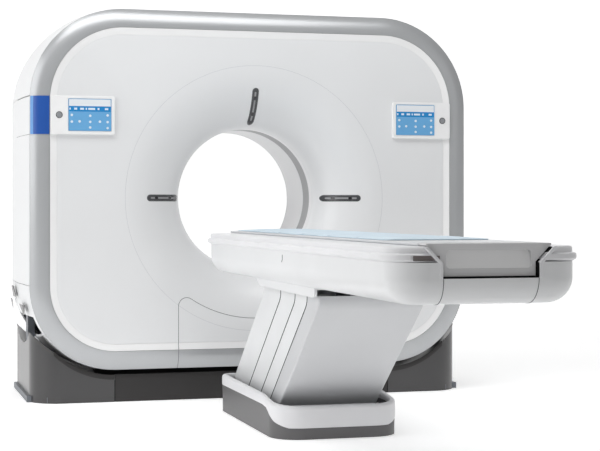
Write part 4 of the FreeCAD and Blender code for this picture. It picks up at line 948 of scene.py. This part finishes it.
def build_table_base():
    def settle(bm, rule):
        for v in bm.verts:
            v.co.z = rule(round(v.co.z * 1000), v.co.z * 1000, v.co.y * 1000) * 0.001

    bm = filled(sweep_round, [(-3, 0), (-3, 30), (-1.5, 100), (-8, 100), (-8, 0)], TABLE_BASE, plan=True,
                steps=20, runs=24)
    settle(bm, lambda mark, z, y: between(JOIN, y) - 1.0 if mark == 100 else z)
    piece("table_skirt", bm, "base", "skirt", ["table_base_skirt"], sharp=30, edge=1.0)
    profile = [(-1.2, 0), (0, 2), (0, 88), (-2, 94), (-6, 98.5), (-11, 100),
               (-19, 100), (-22, 98), (-24, 94), (-24, 84), (-8, 84), (-8, 0)]
    bm = filled(sweep_round, profile, TABLE_BASE, plan=True, steps=20, runs=24)
    settle(bm, lambda mark, z, y: between(JOIN, y) + z if mark < 10 else between(TRAY_TOP, y) + z - 100)
    piece("table_tray", bm, "base", "tray", ["table_base_tray"], sharp=34)
    plate = ((-1884, 127), (-1822, 134), (-1822, 131), (-1884, 124))
    for name, x1, x2 in (("foot_plate", -196, 178), ("foot_plate_end", 183, 196)):
        bm = filled(prism, [at(x1, y, z) for y, z in plate], at(x2 - x1, 0, 0))
        piece(name, bm, "base", "tray", sharp=30, edge=1.0)


class SCANNER_OT_table_base(bpy.types.Operator):
    """Dark skirt and light tray round the foot of the column"""
    bl_idname = "scanner.table_base"
    bl_label = "Table base"

    def execute(self, context):
        build_table_base()
        return {"FINISHED"}


SLAB_STEP, SLAB_LAP = 3.0, 30.0  # each slab wraps the one behind it


def slab_path(k):
    """Foot-side line of a column slab, with the knee rounded."""
    y0 = PIVOTS[k]
    top = (620, 626, 624, 622)[k]
    knee = y0 - (PIVOT_HIGH - PIVOT_LOW) * LEAN
    path = [(y0 - 10 * LEAN, 100.0)]
    for q in range(7):
        t = q / 6
        a, b, c = (knee + 20 * LEAN, PIVOT_HIGH - 20), (knee, PIVOT_HIGH), (knee, PIVOT_HIGH + 22)
        path.append(tuple((1 - t) ** 2 * p + 2 * t * (1 - t) * m + t * t * n for p, m, n in zip(a, b, c)))
    path.append((knee, float(top)))
    return path


def build_column():
    bodies = ["lift_a", "slab_b", "lift_c", "slab_d"]
    depths = [340.0] + [a - b + SLAB_LAP for a, b in zip(PIVOTS, PIVOTS[1:])]
    for k, name in enumerate("abcd"):
        w = SLAB_W - SLAB_STEP * (3 - k)
        back = depths[k]
        path = slab_path(k)
        bm = bmesh.new()
        r = 9.0
        bend = [(w - r + r * math.sin(a), r - r * math.cos(a)) for a in (math.pi / 8 * q for q in range(5))]
        section = [(w, back)] + bend[::-1] + [(-x, y) for x, y in bend] + [(-w, back)]
        y0, z0 = path[0]
        verts, edges = chain(bm, [at(x, y0 + y, z0) for x, y in section], False)
        for (ya, za), (yb, zb) in zip(path, path[1:]):
            verts, edges = grow(bm, edges, at(0, yb - ya, zb - za))
        # the foot-most slab takes the darker copy of the column colour: painted shade
        piece("column_slab_" + name, bm, bodies[k], "column_end" if k == 3 else "column",
              ["column_cover_" + name], sharp=30,
              towards=(0, -1, 0), wall=2)
        if k:
            for s, side in ((-1, "left"), (1, "right")):
                groove("slab_seam_%s_%s" % (name, side), [(s * w, y + back, z) for y, z in path], 2.1,
                       bodies[k], "gap")
    # the arms fused to slabs b and d, behind their webs
    sine, cosine = math.sin(LEAN_ANGLE), math.cos(LEAN_ANGLE)
    reach = Vector((0, -sine, cosine)) * (PIVOT_HIGH - PIVOT_LOW) * 0.001 / cosine
    behind = Vector((0, cosine, sine))
    for k, body, x1, x2, deep in ((1, "slab_b", 122, 134, 40), (3, "slab_d", 40, 52, 24)):
        bm = bmesh.new()
        low = at(0, PIVOTS[k], PIVOT_LOW)
        for s in (-1, 1):
            start = low + at(min(s * x1, s * x2), 0, 0)
            face, back = behind * 0.004, behind * deep * 0.001
            prism(bm, [start + face, start + reach * 0.95 + face, start + reach + back, start + back],
                  at(x2 - x1, 0, 0))
            for end in (start, start + reach + at(0, 10, 0)):
                disc(bm, end + behind * 0.017 + at((x2 - x1) / 2, 0, 0), 13, 13, x2 - x1, 32, "Y")
        piece("slab_arms_" + "abcd"[k], bm, body, "alloy", sharp=30)


class SCANNER_OT_column(bpy.types.Operator):
    """Four leaning cover slabs of the lifting column"""
    bl_idname = "scanner.column"
    bl_label = "Lifting column"

    def execute(self, context):
        build_column()
        return {"FINISHED"}


# ------------------------------------------------------------ table top
def hull_skin(bm):
    belly = [(BELLY * (math.cos(a) - 1), HULL_LOW + BELLY * (1 + math.sin(a)))
             for a in (math.radians(d) for d in range(-90, 1, 9))]
    sweep_round(bm, belly + [(0, HULL_TOP)], HULL, plan=True, closed=False, steps=20)
    low = [e for e in bm.edges if e.is_boundary and all(v.co.z < 0.6575 for v in e.verts)]
    bmesh.ops.edgeloop_fill(bm, edges=low)
    bmesh.ops.recalc_face_normals(bm, faces=bm.faces)
    top = max(bm.faces, key=lambda f: f.calc_area())
    if top.normal.z > 0:
        bmesh.ops.reverse_faces(bm, faces=bm.faces)
    bmesh.ops.solidify(bm, geom=bm.faces[:], thickness=0.006)


def wide(z):
    """Half width of the cradle at a height above the handle's neck."""
    return 164 + (z - 793) / 57 * 56


RIM_SIDE = [(-13, 795), (-9, 796.5), (-2, 801), (0, 804), (0, 815), (-1.5, 820), (-6, 822.5),
            (-13, 823.5), (-14, 825), (-14, 838), (-17, 843), (-23, 845)]


def rim_block(bm):
    sweep_round(bm, RIM_SIDE, RIM, plan=True, closed=False, steps=20)
    for z in (0.795, 0.845):
        end = [e for e in bm.edges if e.is_boundary and all(abs(v.co.z - z) < 1e-5 for v in e.verts)]
        bmesh.ops.edgeloop_fill(bm, edges=end)


def build_table_top():
    edge, seam = sizes().edge, sizes().seam
    slot_top = wide(HULL_TOP) + 1.5
    cutters = [
        solid("well", block, -232, 232, -2345, -1080, 600, 700),
        solid("slot", block, -SLOT_W, SLOT_W, HULL_Y1 - 10, -3430, SLOT_Z, 805),
        solid("slot_wide", block, -slot_top, slot_top, HULL_Y1 - 10, -3430, 791.5, 805),
    ]
    bm = carve(solid("hull_whole", hull_skin), cutters)
    piece("hull_shell", bm, "table", "table", ["table_hull", "table_end_panel"], sharp=24,
          edge=edge)
    # seams of the end panel, round the belly
    for s, side in ((-1, "left"), (1, "right")):
        r = BELLY + 0.2
        path = [(s * 164, HULL_Y1 - 0.2, SLOT_Z - 1)]
        path += [(s * (164 - 4 * a / 90), HULL_Y1 + BELLY - r * math.cos(math.radians(a)),
                  HULL_LOW + BELLY - r * math.sin(math.radians(a))) for a in range(0, 91, 6)]
        path += [(s * 160, HULL_Y1 + BELLY + 120, HULL_LOW - 0.2)]
        groove("end_panel_seam_" + side, path, 0.9 * seam, "table", "seam")
        # light lip along the slot, from the rim's top to the slot's foot
        inner = [(wide(845) + 1.5, 845), (SLOT_W, 793), (SLOT_W, SLOT_Z)]
        outer = [(SLOT_W + 11, SLOT_Z), (SLOT_W + 11, 788), (wide(845) + 15, 845)]
        bm = filled(prism, [at(s * x, HULL_Y1 - 2.5, z) for x, z in inner + outer], at(0, 18, 0))
        piece("slot_lip_" + side, bm, "table", "rim", sharp=30, edge=2.2)
        # black sheet in the gap between the slot and the handle: painted shade
        bm = bmesh.new()
        wall_x, foot_z = s * (SLOT_W - 0.4), SLOT_Z + 0.4
        walls = [(s * (wide(842) + 1.2), 842), (wall_x, 792), (wall_x, foot_z), (0, foot_z)]
        verts, edges = chain(bm, [at(x, HULL_Y1 + 4, z) for x, z in walls], False)
        grow(bm, edges, at(0, 80, 0))
        piece("slot_gap_shade_" + side, bm, "table", "gap", sharp=30, towards=(-s, 0, 0.3), wall=0.8)
    # flange round the column's well
    bm = bmesh.new()
    side = [(-1430, 658), (-1500, 624), (-2300, 617), (-2338, 619), (-2352, 628), (-2352, 658)]
    for x in (-246, 233):
        prism(bm, [at(x, y, z) for y, z in side], at(13, 0, 0))
    block(bm, -240, 240, -2352, -2341, 648, 658)
    piece("well_flange", bm, "table", "table", sharp=30, edge=2.0)
    bm = filled(block, -152, -148, -2353.5, -2350, 649, 657)
    piece("flange_slit", bm, "table", "gap", sharp=30)
    groove("hull_mark", [(-326.2, y, z) for y, z in ((-2180, 781), (-2180, 762), (-2170, 752))], 1.5, "table",
           "seam")
    a, b = wide(803) + 1.5, wide(860) + 1.5
    channel = ((-a, 803), (a, 803), (b, 860), (-b, 860))
    bm = carve(solid("rim_whole", rim_block), [
        solid("channel", prism, [at(x, HULL_Y1 - 20, z) for x, z in channel], at(0, 2800, 0)),
        solid("groove", block, -a, a, HULL_Y1 - 20, HULL_Y1 + 1806, 785, 865),
        solid("pocket", block, -318, -172, HULL_Y1 - 10, HULL_Y1 + 12, 800, 817),
    ])
    piece("rim_band", bm, "table", "rim", ["table_rim"], sharp=24, edge=edge)
    # dark plate at the back of the pocket, standing in for the pocket's shade: painted shade
    bm = filled(block, -262, -173, HULL_Y1 + 9.5, HULL_Y1 + 11.5, 800.5, 816.5)
    piece("rim_pocket_shade", bm, "table", "pocket_shade", sharp=30)


class SCANNER_OT_table_top(bpy.types.Operator):
    """Hull, end panel and rim of the table top"""
    bl_idname = "scanner.table_top"
    bl_label = "Table top"

    def execute(self, context):
        build_table_top()
        return {"FINISHED"}


BOARD_LOW = 803.3                # underside of the cradle's board
GRIP_LOW, GRIP_HIGH = 774, 59    # finger pocket of the handle
MAT_X, MAT_Y1, MAT_Y2 = 198.0, -3058.0, -862.0
MAT_SEAMS = [MAT_Y1 + (MAT_Y2 - MAT_Y1) * k / 6 for k in range(1, 6)]


def on_seam(x, y):
    """1 on a sewn line of the mat, falling to 0 away from it."""
    away = [abs(y - line) for line in MAT_SEAMS + [MAT_Y1 + 13, MAT_Y2 - 13]] + [abs(MAT_X - 13 - abs(x))]
    return max(0.0, 1 - max(0.0, min(away) - 4) / 14)


def mat_form(bm):
    """Thin closed sheet of small squares with round corners, flat below and sunk along its seams."""
    round_r = 38.0
    block(bm, -MAT_X, MAT_X, MAT_Y1, MAT_Y2, 855.2, 861)
    for axis, cuts in ((0, 43), (1, 237)):
        bmesh.ops.subdivide_edges(bm, edges=edges_along(bm, axis), cuts=cuts, use_grid_fill=True)
    bmesh.ops.subdivide_edges(bm, edges=edges_along(bm, 2), cuts=1, use_grid_fill=True)
    middle = (MAT_Y1 + MAT_Y2) / 2
    for v in bm.verts:
        x, y, z = v.co * 1000
        dx = abs(x) - (MAT_X - round_r)
        dy = abs(y - middle) - ((MAT_Y2 - MAT_Y1) / 2 - round_r)
        if dx > 0 and dy > 0:
            pull = max(dx, dy) / math.hypot(dx, dy)
            x = math.copysign(MAT_X - round_r + dx * pull, x)
            y = middle + math.copysign((MAT_Y2 - MAT_Y1) / 2 - round_r + dy * pull, y - middle)
        if z > 860:
            z -= 2.6 * on_seam(x, y)
        v.co = at(x, y, z)


def swell(obj, held, limit, pressure=4.0, frames=20):
    """Let a little air into a sewn cover, and stop each point after a short way."""
    start = [v.co.copy() for v in obj.data.vertices]
    cloth = obj.modifiers.new("Swell", "CLOTH")
    rules = cloth.settings
    rules.quality = 5
    rules.mass = 0.25
    rules.tension_stiffness = rules.compression_stiffness = 12
    rules.bending_stiffness = 0.4
    rules.use_pressure = True
    rules.uniform_pressure_force = pressure
    rules.vertex_group_mass = held
    rules.effector_weights.gravity = 0
    scene = bpy.context.scene
    for f in range(1, frames + 1):
        scene.frame_set(f)
    graph = bpy.context.evaluated_depsgraph_get()
    mesh = bpy.data.meshes.new_from_object(obj.evaluated_get(graph))
    obj.modifiers.clear()
    for v, was in zip(mesh.vertices, start):
        step = v.co - was
        v.co = was + step * min(1.0, limit / max(step.length, 1e-9))
    obj.data = mesh
    scene.frame_set(1)


def build_cradle():
    low = wide(BOARD_LOW)
    outline = [(-low, BOARD_LOW), (low, BOARD_LOW), (220, 850), (220, 855), (-220, 855), (-220, 850)]
    bm = filled(prism, [at(x, HULL_Y1 + 86, z) for x, z in outline], at(0, 2610, 0))
    piece("cradle_board", bm, "cradle", "cradle", ["cradle"], sharp=30, edge=2.0)
    side = [(161, 749), (161, 795), (211, 846), (216, 849), (216.5, 852), (214, 854.5), (209, 855)]
    outline = side + [(-x, z) for x, z in side[::-1]]
    body = solid("handle_whole", prism, [at(x, HANDLE_Y, z) for x, z in outline],
                 at(0, HULL_Y1 + 106 - HANDLE_Y, 0))

    def grip(b, front=HANDLE_Y - 5, spare=0.0):
        """Finger pocket whose back slopes out to its foot."""
        block(b, spare - 147, 147 - spare, front, HANDLE_Y + 24 - spare,
              GRIP_LOW + spare, GRIP_LOW + GRIP_HIGH - spare)
        soften(b, edges_along(b, 1), 13, 8)
        for v in b.verts:
            rise = (v.co.z * 1000 - GRIP_LOW) / GRIP_HIGH
            v.co.y -= max(0.0, v.co.y - HANDLE_Y * 0.001) * 0.9 * (1 - rise)

    bm = carve(body, [solid("grip", grip)])
    piece("pull_handle", bm, "cradle", "handle", ["cradle_handle"], sharp=30, edge=3.0)
    # the pocket's back takes the brighter ring white to lift the pocket's shade: painted light
    piece("grip_liner_painted_light", filled(grip, HANDLE_Y + 21.5, 0.6), "cradle", "ring", sharp=30)
    # mat: long padded sheet, sewn to its base round the edge and along cross seams
    bm = filled(mat_form)
    form = to_object("mat_form", bm)
    held = form.vertex_groups.new(name="Sewn")
    sewn = [v.index for v in form.data.vertices
            if v.co.z < 0.8562 or on_seam(v.co.x * 1000, v.co.y * 1000) > 0.99]
    held.add(sewn, 1.0, "REPLACE")
    swell(form, "Sewn", 0.0045)
    bm = bmesh.new()
    bm.from_mesh(form.data)
    bpy.data.objects.remove(form)
    pad = piece("mat_pad", bm, "cradle", "mat", ["table_mat"], sharp=60)
    smooth = pad.modifiers.new("Soften folds", "SUBSURF")
    smooth.levels = smooth.render_levels = 1
    pad.modifiers.move(len(pad.modifiers) - 1, 0)
    for k, y in enumerate(MAT_SEAMS):
        groove("mat_stitch_%d" % k, [(x, y, 859.2) for x in (-184, 184)], 0.7, "cradle", "mat_thread")


class SCANNER_OT_cradle(bpy.types.Operator):
    """Sliding cradle with its handle and mat"""
    bl_idname = "scanner.cradle"
    bl_label = "Cradle"

    def execute(self, context):
        build_cradle()
        return {"FINISHED"}


# ------------------------------------------------------------ stage
def area_light(name, place, aim, size, power):
    data = bpy.data.lights.new(name, "AREA")
    data.shape = "RECTANGLE"
    data.size, data.size_y = size
    data.energy = power
    obj = bpy.data.objects.new(name, data)
    obj.location = place
    obj.rotation_euler = (Vector(aim) - Vector(place)).to_track_quat("-Z", "Y").to_euler()
    bpy.context.scene.collection.objects.link(obj)


def glow_from_behind(tree, strength):
    """The white floor gives off light behind the scanner and next to none in front of it."""
    shader = tree.nodes["Principled BSDF"]
    link = tree.links.new
    shader.inputs["Emission Color"].default_value = (1, 1, 1, 1)
    place = node(tree, "ShaderNodeTexCoord")
    split = node(tree, "ShaderNodeSeparateXYZ")
    reach = node(tree, "ShaderNodeMapRange")
    for socket, value in (("From Min", -4.0), ("From Max", 6.0), ("To Min", 0.0), ("To Max", 1.0)):
        reach.inputs[socket].default_value = value
    ramp = node(tree, "ShaderNodeValToRGB")
    ramp.color_ramp.elements[0].color = (0.15 * strength,) * 3 + (1,)
    ramp.color_ramp.elements[1].color = (1.4 * strength,) * 3 + (1,)
    near = ramp.color_ramp.elements.new(0.2)
    near.color = (strength,) * 3 + (1,)
    link(place.outputs["Object"], split.inputs["Vector"])
    link(split.outputs["Y"], reach.inputs["Value"])
    link(reach.outputs["Result"], ramp.inputs["Fac"])
    link(ramp.outputs["Color"], shader.inputs["Emission Strength"])


def build_stage():
    scene = bpy.context.scene
    bm = bmesh.new()
    verts, edges = chain(bm, [Vector((-30, -30, 0)), Vector((30, -30, 0))], False)
    verts, edges = grow(bm, edges, Vector((0, 44, 0)))
    for k in range(8):
        a, b = math.radians(90 * k / 8), math.radians(90 * (k + 1) / 8)
        verts, edges = grow(bm, edges, 4 * Vector((0, math.sin(b) - math.sin(a), math.cos(a) - math.cos(b))))
    grow(bm, edges, Vector((0, 0, 14)))
    bmesh.ops.translate(bm, verts=bm.verts, vec=(0, 0, -0.001))
    shade(bm, 60)
    floor = to_object("studio_floor", bm)
    dress(floor, "floor")
    glow_from_behind(FINISH["floor"].node_tree, sizes().floor_glow)
    world = bpy.data.worlds.new("Studio") if scene.world is None else scene.world
    scene.world = world
    world.use_nodes = True
    back = world.node_tree.nodes["Background"]
    back.inputs["Color"].default_value = (1, 1, 1, 1)
    back.inputs["Strength"].default_value = sizes().sky
    area_light("Key", (-6.8, -2.4, 3.0), (0, -1.3, 0.8), (5, 4.5), sizes().key_power)
    area_light("Top", (-0.6, -2.4, 4.6), (0, -0.8, 0.9), (4.5, 1.8), sizes().key_power * 0.66)
    area_light("Fill", (6.5, -6.0, 3.0), (0, -1.5, 0.8), (5, 4), sizes().key_power * 0.1)
    scene.view_settings.view_transform = "Standard"
    camera = bpy.data.cameras.new("Camera")
    camera.lens = 93.07
    camera.sensor_width = 36.0
    camera.shift_y = -0.0317
    obj = bpy.data.objects.new("Camera", camera)
    obj.location = (-1.9341, -8.1109, 0.9721)
    obj.rotation_euler = (math.pi / 2, 0, -math.radians(15.82))
    scene.collection.objects.link(obj)
    scene.camera = obj


class SCANNER_OT_stage(bpy.types.Operator):
    """Pale floor, soft light and the camera"""
    bl_idname = "scanner.stage"
    bl_label = "Stage"

    def execute(self, context):
        build_stage()
        return {"FINISHED"}


class SCANNER_PT_panel(bpy.types.Panel):
    """Steps that build the scanner"""
    bl_label = "CT scanner"
    bl_idname = "SCANNER_PT_panel"
    bl_space_type = "VIEW_3D"
    bl_region_type = "UI"
    bl_category = "CT scanner"

    def draw(self, context):
        for step in STEPS:
            self.layout.operator(step.bl_idname)


STEPS = (SCANNER_OT_housing, SCANNER_OT_badge, SCANNER_OT_laser_windows, SCANNER_OT_operator_panels,
         SCANNER_OT_pedestals, SCANNER_OT_inner_works, SCANNER_OT_table_base, SCANNER_OT_column,
         SCANNER_OT_table_top, SCANNER_OT_cradle, SCANNER_OT_stage)
CLASSES = (ScannerLook, ScannerSizes) + STEPS + (SCANNER_PT_panel,)


def register():
    for each in CLASSES:
        bpy.utils.register_class(each)
    bpy.types.Scene.scanner_look = PointerProperty(type=ScannerLook)
    bpy.types.Scene.scanner_sizes = PointerProperty(type=ScannerSizes)


def unregister():
    del bpy.types.Scene.scanner_sizes
    del bpy.types.Scene.scanner_look
    for each in reversed(CLASSES):
        bpy.utils.unregister_class(each)


def main():
    register()
    make_finishes(look())
    bpy.ops.scanner.housing()
    bpy.ops.scanner.badge()
    bpy.ops.scanner.laser_windows()
    bpy.ops.scanner.operator_panels()
    bpy.ops.scanner.pedestals()
    bpy.ops.scanner.inner_works()
    bpy.ops.scanner.table_base()
    bpy.ops.scanner.column()
    bpy.ops.scanner.table_top()
    bpy.ops.scanner.cradle()
    bpy.ops.scanner.stage()


if __name__ == "__main__":
    main()
